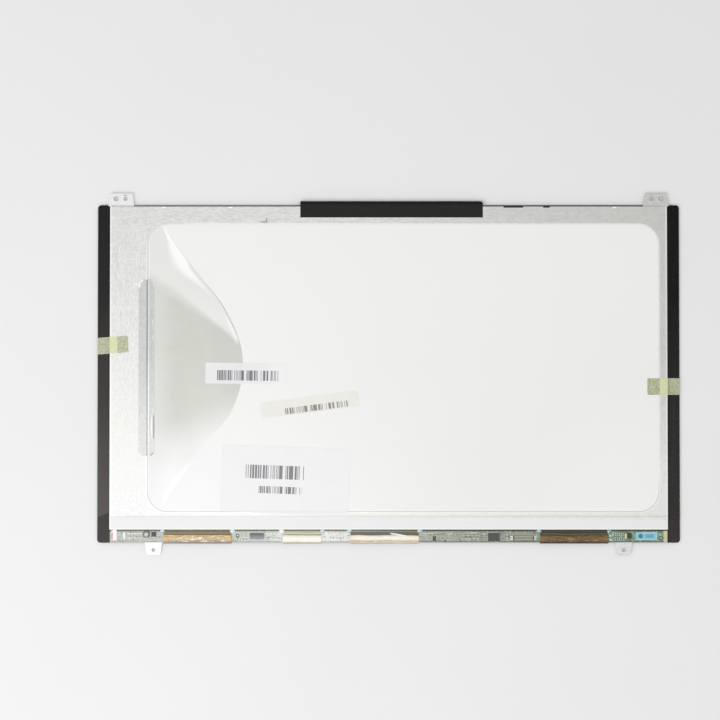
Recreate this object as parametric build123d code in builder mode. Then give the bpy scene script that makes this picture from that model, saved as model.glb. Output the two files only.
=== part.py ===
from build123d import *
from math import sqrt
import os

# Screen panel of a laptop: a glass cell on a thin edge-lit backlight, lying on its face with its back up.
# Sizes are in millimetres. X runs along the long side, Y towards the screen's top, and Z = 0 is its face.

# Glass cell
panel_width = 362.0
panel_height = 210.0
panel_corner_radius = 2.0
glass_thickness = 0.4
front_polarizer_thickness = 0.2
rear_polarizer_thickness = 0.15
polarizer_inset = 1.6
bonding_ledge = 4.0

# Backlight outline, set in from the glass
side_border = 7.7
top_border = 0.9
bottom_border = 8.2

# Folded steel cover
cover_sheet = 0.25
fold_inner_radius = 0.1
cover_lip_depth = 0.7
cover_fit = 0.05
window_left_margin = 23.3
window_right_margin = 5.3
window_top_margin = 11.1
window_bottom_margin = 10.9
window_corner_radius = 13.0
tray_depth = 8.05
tray_end_inset = 0.3

# Fixing ears of the cover
ear_reach = 7.5
ear_root_run = 0.6
top_ear_inset = 14.5
top_ear_base_width = 16.0
top_ear_end_width = 14.0
top_ear_corner_radius = 1.2
screw_hole_offset = 3.3
screw_hole_radius = 1.2
pin_hole_offset = -2.6
pin_hole_radius = 1.0
top_hole_setback = 3.5
ear_slot_length = 2.6
ear_slot_width = 1.0
ear_slot_setback = 1.3
bottom_ear_inset = 35.0
bottom_ear_base_width = 10.6
bottom_ear_end_width = 8.2
bottom_ear_corner_radius = 0.8
bottom_hole_radius = 1.0
bottom_hole_setback = 3.1

# Catches and hooks along the cover's top fold: place along X and width of each catch
catches = ((77.7, 12.4), (98.3, 4.2))
catch_notch_depth = 0.8
catch_notch_drop = 0.5
catch_fit = 0.1
hook_places_x = (-139.6, -98.4, 140.6)
hook_width = 2.4
hook_depth = 0.7
hook_rise = 0.15

# Moulded frame and the sheets inside it
frame_side_wall = 0.6
frame_top_wall = 1.2
frame_bottom_wall = 0.4
sheet_fit = 0.1
bonding_tape_thickness = 0.1
bonding_tape_grip = 0.15
upper_prism_thickness = 0.15
lower_prism_thickness = 0.15
diffuser_thickness = 0.1
light_guide_thickness = 0.75
reflector_thickness = 0.15

# Light bar along the lower edge
led_pitch = 7.0
led_end_margin = 5.0
led_length = 3.0
led_depth = 1.0
led_height = 0.6
led_fit = 0.1
light_gap = 0.2
light_flex_thickness = 0.12
light_flex_lap = 2.0
light_tail_width = 3.4
light_tail_inset = 0.2
light_tail_step = 0.3
light_tail_drop_run = 1.0
light_tail_reach = 5.4
light_tail_bend_radius = 0.3
tail_slot_fit = 0.2

# Buckle in the reflector: heights as shares of the half window, and how far the crease reaches at each
buckle_shares = (0.94, 0.70, 0.41, 0.06, -0.31, -0.58, -0.93)
buckle_reaches = (12.5, 28.0, 48.0, 59.4, 52.0, 31.0, 11.5)
buckle_edge_gap = 0.6
buckle_slope = 0.02

# Border tapes on the glass beside the backlight
border_tape_thickness = 0.15
border_tape_gap = 0.1
left_tape_stop_outer = 15.7
left_tape_stop_inner = 18.9
right_tape_stop = 14.6

# Driver board in the cover's tray
board_end_inset = 0.3
board_width = 7.1
board_gap = 0.7
board_thickness = 0.5
board_tape_thickness = 0.08
board_tape_inset = 0.6
board_hole_radius = 0.65
board_hole_tape_gap = 0.4

# A place on the board is a share of its half length, and a distance down from its upper edge.
board_hole_shares = (-0.542, 0.977)
board_hole_downs = (3.1, 4.6)

# Driver films, folded round the lower edge of the glass, with their chips inside the fold
film_shares = (-0.6855, -0.3104, -0.0145, 0.6653)
film_widths = (42.0, 24.0, 42.4, 42.2)
film_thickness = 0.08
film_standoff = 0.4
film_front_gap = 0.5
film_front_radius = 0.3
film_back_radius = 0.9
film_rise_radius = 0.6
film_board_setback = 0.5
film_bond_length = 1.5
film_rise_run = 2.0
chip_length = 18.0
chip_width = 1.4
chip_thickness = 0.4
chip_gap = 0.1
chip_edge_gap = 1.5
resin_length = 1.4
resin_width = 0.9
resin_height = 0.22
resin_fillet = 0.12

# Packages on the board, each with its length, width and height
timing_chip_share = 0.3775
timing_chip_down = 3.9
timing_chip_size = (7.3, 5.2, 0.9)
power_chip_share = -0.4728
power_chip_down = 3.3
power_chip_size = (8.6, 3.6, 0.9)
power_lead_count = 12
power_lead_pitch = 0.65
power_lead_size = (0.3, 0.8, 0.2)
backlight_chip_share = -0.8422
backlight_chip_down = 2.2
backlight_chip_size = (3.1, 3.0, 0.8)
inductor_share = -0.8688
inductor_down = 2.2
inductor_size = (3.9, 3.6, 1.0)
inductor_corner_radius = 0.9
memory_chip_share = 0.1636
memory_chip_down = 4.9
memory_chip_size = (2.0, 3.0, 0.6)
tantalum_share = 0.859
tantalum_down = 3.2
tantalum_size = (4.2, 3.2, 1.0)
fuse_share = -0.9474
fuse_down = 2.9
fuse_size = (1.4, 4.2, 0.7)
package_chamfer = 0.12

# Rows of small chips: the shares of each row's first and last chip, its distance down and its count
capacitor_size = (1.0, 0.6, 0.6)
capacitor_row_shares = (
    (-0.932, -0.886),
    (-0.932, -0.886),
    (-0.436, -0.393),
    (-0.216, -0.164),
    (0.133, 0.158),
    (0.213, 0.225),
    (0.278, 0.320),
    (0.300, 0.309),
    (0.3387, 0.3463),
)
capacitor_row_downs = (1.6, 4.4, 1.7, 1.3, 1.5, 1.9, 4.9, 1.2, 1.9)
capacitor_row_counts = (5, 5, 4, 4, 3, 2, 4, 2, 2)
resistor_size = (1.0, 0.5, 0.35)
resistor_row_shares = (
    (-0.543, -0.510),
    (-0.434, -0.391),
    (-0.208, -0.162),
    (0.197, 0.232),
    (0.273, 0.3225),
    (0.410, 0.430),
    (0.410, 0.430),
    (0.8165, 0.8395),
    (0.8165, 0.8395),
    (0.8165, 0.8395),
    (0.8165, 0.8395),
)
resistor_row_downs = (5.6, 4.6, 4.2, 5.4, 3.0, 2.4, 4.3, 1.4, 2.8, 4.2, 5.6)
resistor_row_counts = (4, 6, 5, 4, 4, 3, 3, 4, 4, 4, 4)

# Signal connector, as long as its row of contacts needs
connector_share = 0.4835
connector_down = 3.6
connector_depth = 4.6
connector_height = 1.0
connector_end_wall = 0.8
connector_floor = 0.25
connector_mouth_height = 0.5
connector_mouth_depth = 2.8
connector_shell_sheet = 0.12
connector_shell_depth = 3.0
contact_count = 30
contact_pitch = 0.4
contact_size = (0.2, 2.2, 0.1)
contact_end_gap = 0.4

# Tapes on the back
lower_tape_left_inset = 0.6
lower_tape_right_inset = 1.6
lower_tape_left_width = 7.6
lower_tape_right_width = 5.9
lower_tape_thickness = 0.06
top_tape_left_x = -54.9
top_tape_right_x = 58.7
top_tape_lap = 6.9
top_tape_front_lap = 1.2
top_tape_overhang = 2.5
top_tape_clip = 1.2
top_tape_thickness = 0.08
left_hold_tape_length = 19.2
right_hold_tape_length = 20.2
hold_tape_width = 10.3
hold_tape_thickness = 0.1
hold_tape_foot = 1.0
hold_tape_shoulder = 0.3
hold_tape_bend_radius = 0.25
left_hold_tape_y = 17.1
left_hold_tape_turn = 4.2
right_hold_tape_y = -8.0
step_clearance = 0.2
step_run = 0.6
reflector_tape_cover_lap = 5.3
reflector_tape_film_lap = 5.0
reflector_tape_length = 109.4
reflector_tape_y = 3.8
reflector_tape_corner = 2.2
reflector_tape_thickness = 0.06
reflector_tape_ease = 0.02

# Labels on the reflector, placed from the window's lower left corner, the large one by its lower edge
label_thickness = 0.08
label_bond = 0.02
white_label_place = (61.6, 86.0)
white_label_size = (50.6, 13.0)
white_label_turn = -0.8
cream_label_place = (100.9, 66.7)
cream_label_size = (61.5, 9.8)
cream_label_turn = 7.3
cream_label_corner_radius = 2.4
large_label_run = 85.8
large_label_drop = 1.05
large_label_size = (79.9, 41.5)
large_label_turn = -2.1

# Sticker and tape on the board
board_sticker_share = 0.925
board_sticker_down = 3.3
board_sticker_size = (13.0, 4.6)
board_sticker_thickness = 0.06
board_end_tape_width = 2.4
board_end_tape_thickness = 0.06

# Heights of the stack, from the display face up
colour_filter_z = front_polarizer_thickness
array_z = colour_filter_z + glass_thickness
cell_back_z = array_z + glass_thickness
bonding_tape_z = cell_back_z + rear_polarizer_thickness
frame_z = bonding_tape_z + bonding_tape_thickness
lower_prism_z = frame_z + upper_prism_thickness
diffuser_z = lower_prism_z + lower_prism_thickness
light_guide_z = diffuser_z + diffuser_thickness
reflector_z = light_guide_z + light_guide_thickness
cover_z = reflector_z + reflector_thickness
cover_top_z = cover_z + cover_sheet
tray_z = frame_z
board_tape_z = tray_z + cover_sheet
board_z = board_tape_z + board_tape_thickness
board_top_z = board_z + board_thickness

# Places in the plane
panel_side_x = panel_width / 2
panel_top_y = panel_height / 2
cover_side_x = panel_side_x - side_border
cover_top_y = panel_top_y - top_border
cover_bottom_y = bottom_border - panel_top_y
cover_mid_y = (cover_top_y + cover_bottom_y) / 2
fold_outer_radius = fold_inner_radius + cover_sheet
fold_mid_radius = fold_inner_radius + cover_sheet / 2

window_left_x = window_left_margin - cover_side_x
window_right_x = cover_side_x - window_right_margin
window_top_y = cover_top_y - window_top_margin
window_bottom_y = cover_bottom_y + window_bottom_margin
window_mid_x = (window_left_x + window_right_x) / 2
window_mid_y = (window_top_y + window_bottom_y) / 2

frame_side_x = cover_side_x - cover_sheet - cover_fit
frame_top_y = cover_top_y - cover_sheet - cover_fit
frame_bottom_y = cover_bottom_y + cover_sheet + cover_fit
frame_mid_y = (frame_top_y + frame_bottom_y) / 2
led_back_y = frame_bottom_y + frame_bottom_wall + led_fit
led_front_y = led_back_y + led_depth
sheet_side_x = frame_side_x - frame_side_wall - sheet_fit
sheet_top_y = frame_top_y - frame_top_wall - sheet_fit
sheet_bottom_y = led_front_y + light_gap
sheet_height = sheet_top_y - sheet_bottom_y
sheet_mid_y = (sheet_top_y + sheet_bottom_y) / 2
light_flex_front_y = sheet_bottom_y + light_flex_lap
light_tail_x = light_tail_inset + light_tail_width / 2 - sheet_side_x

board_half_length = cover_side_x - board_end_inset
board_top_y = cover_bottom_y - board_gap
board_bottom_y = board_top_y - board_width
board_mid_y = (board_top_y + board_bottom_y) / 2
tray_bottom_y = cover_bottom_y - tray_depth
tray_side_x = cover_side_x - tray_end_inset
film_top_y = board_top_y - film_board_setback
film_outer_y = min(-panel_top_y, board_bottom_y) - film_standoff
film_crown_z = board_top_z + chip_gap + chip_thickness

os.makedirs("parts", exist_ok=True)


def on_board(share, down):
    """Point on the board, from a share of its half length and a distance below its upper edge."""
    return share * board_half_length, board_top_y - down


def in_window(place):
    """Point on the reflector, measured from the window's lower left corner."""
    return window_left_x + place[0], window_bottom_y + place[1]


# Front polarizer: the film that the panel lies on
with BuildPart() as front_polarizer:
    with BuildSketch():
        with Locations((0, bonding_ledge / 2)):
            Rectangle(
                panel_width - 2 * polarizer_inset,
                panel_height - bonding_ledge - 2 * polarizer_inset,
            )
    extrude(amount=front_polarizer_thickness)
front_polarizer.part.label = "front_polarizer"
export_step(front_polarizer.part, "parts/front_polarizer.step")

# Colour filter glass: shorter than the array glass, so that the bonding ledge stays bare
with BuildPart() as colour_filter_glass:
    with BuildSketch(Plane.XY.offset(colour_filter_z)):
        RectangleRounded(panel_width, panel_height, panel_corner_radius)
        with Locations((0, -panel_top_y)):
            Rectangle(panel_width, 2 * bonding_ledge, mode=Mode.SUBTRACT)
    extrude(amount=glass_thickness)
colour_filter_glass.part.label = "colour_filter_glass"
export_step(colour_filter_glass.part, "parts/colour_filter_glass.step")

# Array glass: carries the pixels, the driver films and everything behind
with BuildPart() as array_glass:
    with BuildSketch(Plane.XY.offset(array_z)):
        RectangleRounded(panel_width, panel_height, panel_corner_radius)
    extrude(amount=glass_thickness)
array_glass.part.label = "array_glass"
export_step(array_glass.part, "parts/array_glass.step")

# Rear polarizer
with BuildPart() as rear_polarizer:
    with BuildSketch(Plane.XY.offset(cell_back_z)):
        with Locations((0, cover_mid_y)):
            Rectangle(2 * cover_side_x, cover_top_y - cover_bottom_y)
    extrude(amount=rear_polarizer_thickness)
rear_polarizer.part.label = "rear_polarizer"
export_step(rear_polarizer.part, "parts/rear_polarizer.step")

# Border tapes: black strips on the glass beside the backlight, the left one cut on the slant
border_inner_x = cover_side_x + border_tape_gap
with BuildPart() as left_border_tape:
    with BuildSketch(Plane.XY.offset(cell_back_z)):
        with BuildLine():
            Polyline(
                (-panel_side_x, panel_top_y),
                (-border_inner_x, panel_top_y),
                (-border_inner_x, left_tape_stop_inner - panel_top_y),
                (-panel_side_x, left_tape_stop_outer - panel_top_y),
                close=True,
            )
        make_face()
        RectangleRounded(panel_width, panel_height, panel_corner_radius, mode=Mode.INTERSECT)
    extrude(amount=border_tape_thickness)
left_border_tape.part.label = "left_border_tape"
export_step(left_border_tape.part, "parts/left_border_tape.step")

with BuildPart() as right_border_tape:
    with BuildSketch(Plane.XY.offset(cell_back_z)):
        with BuildLine():
            Polyline(
                (panel_side_x, panel_top_y),
                (border_inner_x, panel_top_y),
                (border_inner_x, right_tape_stop - panel_top_y),
                (panel_side_x, right_tape_stop - panel_top_y),
                close=True,
            )
        make_face()
        RectangleRounded(panel_width, panel_height, panel_corner_radius, mode=Mode.INTERSECT)
    extrude(amount=border_tape_thickness)
right_border_tape.part.label = "right_border_tape"
export_step(right_border_tape.part, "parts/right_border_tape.step")

# Bonding tape: a thin rim that joins the cell to the frame and grips the sheets' edges
rim_inner_top_y = sheet_top_y - bonding_tape_grip
with BuildPart() as cell_bonding_tape:
    with BuildSketch(Plane.XY.offset(bonding_tape_z)):
        with Locations((0, frame_mid_y)):
            Rectangle(2 * frame_side_x, frame_top_y - frame_bottom_y)
        with Locations((0, (rim_inner_top_y + light_flex_front_y) / 2)):
            Rectangle(
                2 * (sheet_side_x - bonding_tape_grip),
                rim_inner_top_y - light_flex_front_y,
                mode=Mode.SUBTRACT,
            )
    extrude(amount=bonding_tape_thickness)
cell_bonding_tape.part.label = "cell_bonding_tape"
export_step(cell_bonding_tape.part, "parts/cell_bonding_tape.step")

# Moulded frame: a thin wall round the sheets, a pocket for the lamps and catches on the top wall
frame_opening_bottom_y = sheet_bottom_y - sheet_fit
frame_opening_top_y = sheet_top_y + sheet_fit
pocket_z = reflector_z - led_height - led_fit
tail_slot_z = reflector_z - tail_slot_fit
tail_slot_width = light_tail_width + 2 * tail_slot_fit
with BuildPart() as mould_frame:
    with BuildSketch(Plane.XY.offset(frame_z)):
        with Locations((0, frame_mid_y)):
            Rectangle(2 * frame_side_x, frame_top_y - frame_bottom_y)
        with Locations((0, (frame_opening_top_y + frame_opening_bottom_y) / 2)):
            Rectangle(
                2 * (sheet_side_x + sheet_fit),
                frame_opening_top_y - frame_opening_bottom_y,
                mode=Mode.SUBTRACT,
            )
    extrude(amount=cover_z - frame_z)
    chamfer(mould_frame.faces().sort_by(Axis.Z)[-1].outer_wire().edges(), fold_inner_radius + cover_fit)
    with BuildSketch(Plane.XY.offset(pocket_z)):
        with Locations((0, (led_back_y - led_fit + frame_opening_bottom_y) / 2)):
            Rectangle(2 * (sheet_side_x + sheet_fit), frame_opening_bottom_y - led_back_y + led_fit)
    extrude(amount=cover_z - pocket_z, mode=Mode.SUBTRACT)
    with BuildSketch(Plane.XY.offset(tail_slot_z)):
        with Locations((light_tail_x, frame_bottom_y)):
            Rectangle(tail_slot_width, 2 * (frame_bottom_wall + led_fit))
    extrude(amount=cover_z - tail_slot_z, mode=Mode.SUBTRACT)
    with BuildSketch(Plane.XY.offset(cover_z - catch_notch_drop + catch_fit)):
        for catch_x, catch_width in catches:
            with Locations((catch_x, cover_top_y - (catch_notch_depth - catch_fit) / 2)):
                Rectangle(catch_width - 2 * catch_fit, catch_notch_depth - catch_fit)
    extrude(amount=catch_notch_drop - catch_fit + cover_sheet)
mould_frame.part.label = "mould_frame"
export_step(mould_frame.part, "parts/mould_frame.step")

# Optical sheets, from the cell back to the light guide
with BuildPart() as upper_prism_sheet:
    with BuildSketch(Plane.XY.offset(frame_z)):
        with Locations((0, sheet_mid_y)):
            Rectangle(2 * sheet_side_x, sheet_height)
    extrude(amount=upper_prism_thickness)
upper_prism_sheet.part.label = "upper_prism_sheet"
export_step(upper_prism_sheet.part, "parts/upper_prism_sheet.step")

with BuildPart() as lower_prism_sheet:
    with BuildSketch(Plane.XY.offset(lower_prism_z)):
        with Locations((0, sheet_mid_y)):
            Rectangle(2 * sheet_side_x, sheet_height)
    extrude(amount=lower_prism_thickness)
lower_prism_sheet.part.label = "lower_prism_sheet"
export_step(lower_prism_sheet.part, "parts/lower_prism_sheet.step")

with BuildPart() as diffuser_sheet:
    with BuildSketch(Plane.XY.offset(diffuser_z)):
        with Locations((0, sheet_mid_y)):
            Rectangle(2 * sheet_side_x, sheet_height)
    extrude(amount=diffuser_thickness)
diffuser_sheet.part.label = "diffuser_sheet"
export_step(diffuser_sheet.part, "parts/diffuser_sheet.step")

with BuildPart() as light_guide_plate:
    with BuildSketch(Plane.XY.offset(light_guide_z)):
        with Locations((0, sheet_mid_y)):
            Rectangle(2 * sheet_side_x, sheet_height)
    extrude(amount=light_guide_thickness)
light_guide_plate.part.label = "light_guide_plate"
export_step(light_guide_plate.part, "parts/light_guide_plate.step")


def window_left_edge(height_y):
    """X of the window's left edge at a height, round corners included."""
    corner_start = (window_top_y - window_bottom_y) / 2 - window_corner_radius
    into_corner = max(0, abs(height_y - window_mid_y) - corner_start)
    return window_left_x + window_corner_radius - sqrt(window_corner_radius**2 - into_corner**2)


def buckle(base_z, skirt):
    """Swell of the buckled film above base_z: circle segments across X, lofted down the window."""
    with BuildPart() as swell:
        for share, reach in zip(buckle_shares, buckle_reaches):
            station_y = window_mid_y + share * (window_top_y - window_mid_y)
            start_x = window_left_edge(station_y) + buckle_edge_gap
            crease_x = window_left_x + reach
            crown_z = base_z + buckle_slope * reach * (1 - share**2)
            with BuildSketch(Plane.XZ.offset(-station_y)):
                with BuildLine():
                    ThreePointArc(
                        (start_x, base_z),
                        ((start_x + crease_x) / 2, crown_z),
                        (crease_x, base_z),
                    )
                    Polyline(
                        (crease_x, base_z),
                        (crease_x, base_z - skirt),
                        (start_x, base_z - skirt),
                        (start_x, base_z),
                    )
                make_face()
        loft()
    return swell.part


# Reflector: the white film behind the light guide, buckled up on its left side
film_swell = buckle(cover_z, reflector_thickness / 2)
film_hollow = buckle(reflector_z, reflector_thickness / 2)
reflector_bottom_y = light_flex_front_y + sheet_fit
with BuildPart() as reflector_sheet:
    with BuildSketch(Plane.XY.offset(reflector_z)):
        with Locations((0, (sheet_top_y + reflector_bottom_y) / 2)):
            Rectangle(2 * sheet_side_x, sheet_top_y - reflector_bottom_y)
    extrude(amount=reflector_thickness)
    add(film_swell)
    add(film_hollow, mode=Mode.SUBTRACT)
reflector_sheet.part.label = "reflector_sheet"
export_step(reflector_sheet.part, "parts/reflector_sheet.step")

# Light bar: a flexible circuit under the guide's edge, with a tail out to the board
flex_mid_z = reflector_z + light_flex_thickness / 2
tail_end_z = board_top_z + light_flex_thickness / 2
tail_step_y = cover_bottom_y - light_tail_step
tail_landing_y = tail_step_y - light_tail_drop_run
with BuildPart() as light_bar_flex:
    with BuildSketch(Plane.XY.offset(reflector_z)):
        with Locations((0, (light_flex_front_y + led_back_y) / 2)):
            Rectangle(2 * (sheet_side_x - light_tail_inset), light_flex_front_y - led_back_y)
    extrude(amount=light_flex_thickness)
    with BuildSketch(Plane.YZ.offset(light_tail_x)):
        with BuildLine():
            FilletPolyline(
                (light_flex_front_y, flex_mid_z),
                (tail_step_y, flex_mid_z),
                (tail_landing_y, tail_end_z),
                (tail_landing_y - light_tail_reach, tail_end_z),
                radius=light_tail_bend_radius,
            )
        trace(line_width=light_flex_thickness)
    extrude(amount=light_tail_width / 2, both=True)
light_bar_flex.part.label = "light_bar_flex"
export_step(light_bar_flex.part, "parts/light_bar_flex.step")

# Lamps: side-facing light-emitting diodes in a row against the light guide's edge
led_count = int(2 * (sheet_side_x - led_end_margin) // led_pitch)
with BuildPart() as light_bar_leds:
    with BuildSketch(Plane.XY.offset(reflector_z - led_height)):
        with Locations((0, (led_back_y + led_front_y) / 2)):
            with GridLocations(led_pitch, 1, led_count, 1):
                Rectangle(led_length, led_depth)
    extrude(amount=led_height)
light_bar_leds.part.label = "light_bar_leds"
export_step(light_bar_leds.part, "parts/light_bar_leds.step")

# Upper ears of the cover: a lip folded down to the glass and out again, with screw, pin and slot holes
ear_end_y = panel_top_y + ear_reach
top_ear_x = panel_side_x - top_ear_inset
ear_base_y = cover_top_y + ear_root_run / 2
ear_root_left_x = top_ear_x - top_ear_base_width / 2
with BuildPart() as top_ears:
    with BuildSketch(Plane.YZ.offset(ear_root_left_x)):
        with BuildLine():
            FilletPolyline(
                (cover_top_y - cover_sheet / 2, cover_z),
                (cover_top_y - cover_sheet / 2, tray_z + cover_sheet / 2),
                (cover_top_y + ear_root_run, tray_z + cover_sheet / 2),
                radius=fold_mid_radius,
            )
        trace(line_width=cover_sheet)
    extrude(amount=min(top_ear_base_width, cover_side_x - ear_root_left_x))
    with BuildSketch(Plane.XY.offset(tray_z)) as ear_outline:
        with BuildLine():
            Polyline(
                (top_ear_x - top_ear_base_width / 2, ear_base_y),
                (top_ear_x + top_ear_base_width / 2, ear_base_y),
                (top_ear_x + top_ear_end_width / 2, ear_end_y),
                (top_ear_x - top_ear_end_width / 2, ear_end_y),
                close=True,
            )
        make_face()
        fillet(ear_outline.vertices().group_by(Axis.Y)[-1], top_ear_corner_radius)
        with Locations((top_ear_x + screw_hole_offset, ear_end_y - top_hole_setback)):
            Circle(screw_hole_radius, mode=Mode.SUBTRACT)
        with Locations((top_ear_x + pin_hole_offset, ear_end_y - top_hole_setback)):
            Circle(pin_hole_radius, mode=Mode.SUBTRACT)
        with Locations((top_ear_x + pin_hole_offset, ear_end_y - ear_slot_setback)):
            SlotOverall(ear_slot_length, ear_slot_width, mode=Mode.SUBTRACT)
    extrude(amount=cover_sheet)
    mirror(about=Plane.YZ)

# Lower ears of the cover, in the plane of the tray
bottom_ear_x = panel_side_x - bottom_ear_inset
with BuildPart() as bottom_ears:
    with BuildSketch(Plane.XY.offset(tray_z)) as lower_outline:
        with BuildLine():
            Polyline(
                (bottom_ear_x - bottom_ear_base_width / 2, tray_bottom_y),
                (bottom_ear_x + bottom_ear_base_width / 2, tray_bottom_y),
                (bottom_ear_x + bottom_ear_end_width / 2, -ear_end_y),
                (bottom_ear_x - bottom_ear_end_width / 2, -ear_end_y),
                close=True,
            )
        make_face()
        fillet(lower_outline.vertices().group_by(Axis.Y)[0], bottom_ear_corner_radius)
        with Locations((bottom_ear_x, bottom_hole_setback - ear_end_y)):
            Circle(bottom_hole_radius, mode=Mode.SUBTRACT)
    extrude(amount=cover_sheet)
    mirror(about=Plane.YZ)

# Back cover: one blank of galvanised steel folded down all round, with a window and a tray for the board
lip_z = cover_z - cover_lip_depth
with BuildPart() as back_cover:
    with BuildSketch(Plane.XY.offset(lip_z)):
        with Locations((0, cover_mid_y)):
            Rectangle(2 * cover_side_x, cover_top_y - cover_bottom_y)
    extrude(amount=cover_top_z - lip_z)
    fillet(back_cover.faces().sort_by(Axis.Z)[-1].edges(), fold_outer_radius)
    offset(amount=-cover_sheet, openings=back_cover.faces().sort_by(Axis.Z)[0])
    with BuildSketch(Plane.XY.offset(cover_z)):
        with Locations((window_mid_x, window_mid_y)):
            RectangleRounded(
                window_right_x - window_left_x,
                window_top_y - window_bottom_y,
                window_corner_radius,
            )
    extrude(amount=cover_sheet, mode=Mode.SUBTRACT)
    with BuildSketch(Plane.YZ):
        with BuildLine():
            FilletPolyline(
                (cover_bottom_y + cover_sheet / 2, cover_z),
                (cover_bottom_y + cover_sheet / 2, tray_z + cover_sheet / 2),
                (tray_bottom_y, tray_z + cover_sheet / 2),
                radius=fold_mid_radius,
            )
        trace(line_width=cover_sheet)
    extrude(amount=tray_side_x, both=True)
    add(top_ears.part)
    add(bottom_ears.part)
    with BuildSketch(Plane.XY.offset(tail_slot_z)):
        with Locations((light_tail_x, cover_bottom_y)):
            Rectangle(tail_slot_width, 2 * fold_outer_radius)
    extrude(amount=cover_z - tail_slot_z, mode=Mode.SUBTRACT)
    with BuildSketch(Plane.XY.offset(cover_z - catch_notch_drop)):
        for catch_x, catch_width in catches:
            with Locations((catch_x, cover_top_y)):
                Rectangle(catch_width, 2 * catch_notch_depth)
    extrude(amount=catch_notch_drop + cover_sheet, mode=Mode.SUBTRACT)
    with BuildSketch(Plane.XY.offset(cover_top_z)):
        for hook_x in hook_places_x:
            with Locations((hook_x, cover_top_y - fold_outer_radius - hook_depth / 2)):
                Rectangle(hook_width, hook_depth)
    extrude(amount=hook_rise)
back_cover.part.label = "back_cover"
export_step(back_cover.part, "parts/back_cover.step")

# Lower cover tape: a pale strip over the lamps, stuck on slightly askew
lower_tape_bottom_y = cover_bottom_y + fold_outer_radius
lower_tape_left_x = lower_tape_left_inset - cover_side_x
lower_tape_right_x = cover_side_x - lower_tape_right_inset
with BuildPart() as lower_cover_tape:
    with BuildSketch(Plane.XY.offset(cover_top_z)):
        with BuildLine():
            Polyline(
                (lower_tape_left_x, lower_tape_bottom_y),
                (lower_tape_right_x, lower_tape_bottom_y),
                (lower_tape_right_x, lower_tape_bottom_y + lower_tape_right_width),
                (lower_tape_left_x, lower_tape_bottom_y + lower_tape_left_width),
                close=True,
            )
        make_face()
    extrude(amount=lower_tape_thickness)
lower_cover_tape.part.label = "lower_cover_tape"
export_step(lower_cover_tape.part, "parts/lower_cover_tape.step")

# Board bond tape: holds the driver board down in the tray, clear of its tooling holes
board_hole_points = [on_board(*place) for place in zip(board_hole_shares, board_hole_downs)]
with BuildPart() as board_bond_tape:
    with BuildSketch(Plane.XY.offset(board_tape_z)):
        with Locations((0, board_mid_y)):
            Rectangle(2 * (board_half_length - board_tape_inset), board_width - 2 * board_tape_inset)
        with Locations(board_hole_points):
            Circle(board_hole_radius + board_hole_tape_gap, mode=Mode.SUBTRACT)
    extrude(amount=board_tape_thickness)
board_bond_tape.part.label = "board_bond_tape"
export_step(board_bond_tape.part, "parts/board_bond_tape.step")

# Driver board: a long narrow circuit board with two tooling holes
with BuildPart() as driver_board:
    with BuildSketch(Plane.XY.offset(board_z)):
        with Locations((0, board_mid_y)):
            Rectangle(2 * board_half_length, board_width)
        with Locations(board_hole_points):
            Circle(board_hole_radius, mode=Mode.SUBTRACT)
    extrude(amount=board_thickness)
driver_board.part.label = "driver_board"
export_step(driver_board.part, "parts/driver_board.step")

# Driver films and chips: each film runs from the front of the ledge, round the edge of the glass and over
# its chip to the board
film_bond_y = film_top_y - film_bond_length
film_crown_y = film_bond_y - film_rise_run
chip_y = film_outer_y + chip_edge_gap + chip_width / 2
for number, (share, film_width) in enumerate(zip(film_shares, film_widths), start=1):
    film_x = share * board_half_length
    with BuildPart() as driver_film:
        with BuildSketch(Plane.YZ.offset(film_x)):
            with BuildLine():
                FilletPolyline(
                    (bonding_ledge - panel_top_y - film_front_gap, array_z - film_thickness / 2),
                    (film_outer_y, array_z - film_thickness / 2),
                    (film_outer_y, film_crown_z + film_thickness / 2),
                    (film_crown_y, film_crown_z + film_thickness / 2),
                    (film_bond_y, board_top_z + film_thickness / 2),
                    (film_top_y, board_top_z + film_thickness / 2),
                    radius=(film_front_radius, film_back_radius, film_rise_radius, film_rise_radius),
                )
            trace(line_width=film_thickness)
        extrude(amount=film_width / 2, both=True)
    driver_film.part.label = f"driver_film_{number}"
    export_step(driver_film.part, f"parts/driver_film_{number}.step")

    with BuildPart() as driver_chip:
        with BuildSketch(Plane.XY.offset(film_crown_z - chip_thickness)):
            with Locations((film_x, chip_y)):
                Rectangle(chip_length, chip_width)
        extrude(amount=chip_thickness)
    driver_chip.part.label = f"driver_chip_{number}"
    export_step(driver_chip.part, f"parts/driver_chip_{number}.step")

# Resin dabs at the upper corners of the films
resin_y = film_top_y - resin_width / 2
with BuildPart() as film_corner_resin:
    with BuildSketch(Plane.XY.offset(board_top_z)):
        for share, film_width in zip(film_shares, film_widths):
            with Locations((share * board_half_length, resin_y)):
                with GridLocations(film_width + resin_length, 1, 2, 1):
                    Rectangle(resin_length, resin_width)
    extrude(amount=resin_height)
    fillet(film_corner_resin.edges().group_by(Axis.Z)[-1], resin_fillet)
film_corner_resin.part.label = "film_corner_resin"
export_step(film_corner_resin.part, "parts/film_corner_resin.step")


def package(share, down, size):
    """Moulded chip package on the board, with its upper edges chamfered."""
    length, width, height = size
    with BuildPart() as body:
        with BuildSketch(Plane.XY.offset(board_top_z)):
            with Locations(on_board(share, down)):
                Rectangle(length, width)
        extrude(amount=height)
        chamfer(body.edges().group_by(Axis.Z)[-1], package_chamfer)
    return body


timing_controller = package(timing_chip_share, timing_chip_down, timing_chip_size)
timing_controller.part.label = "timing_controller"
export_step(timing_controller.part, "parts/timing_controller.step")

backlight_driver_chip = package(backlight_chip_share, backlight_chip_down, backlight_chip_size)
backlight_driver_chip.part.label = "backlight_driver_chip"
export_step(backlight_driver_chip.part, "parts/backlight_driver_chip.step")

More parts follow.
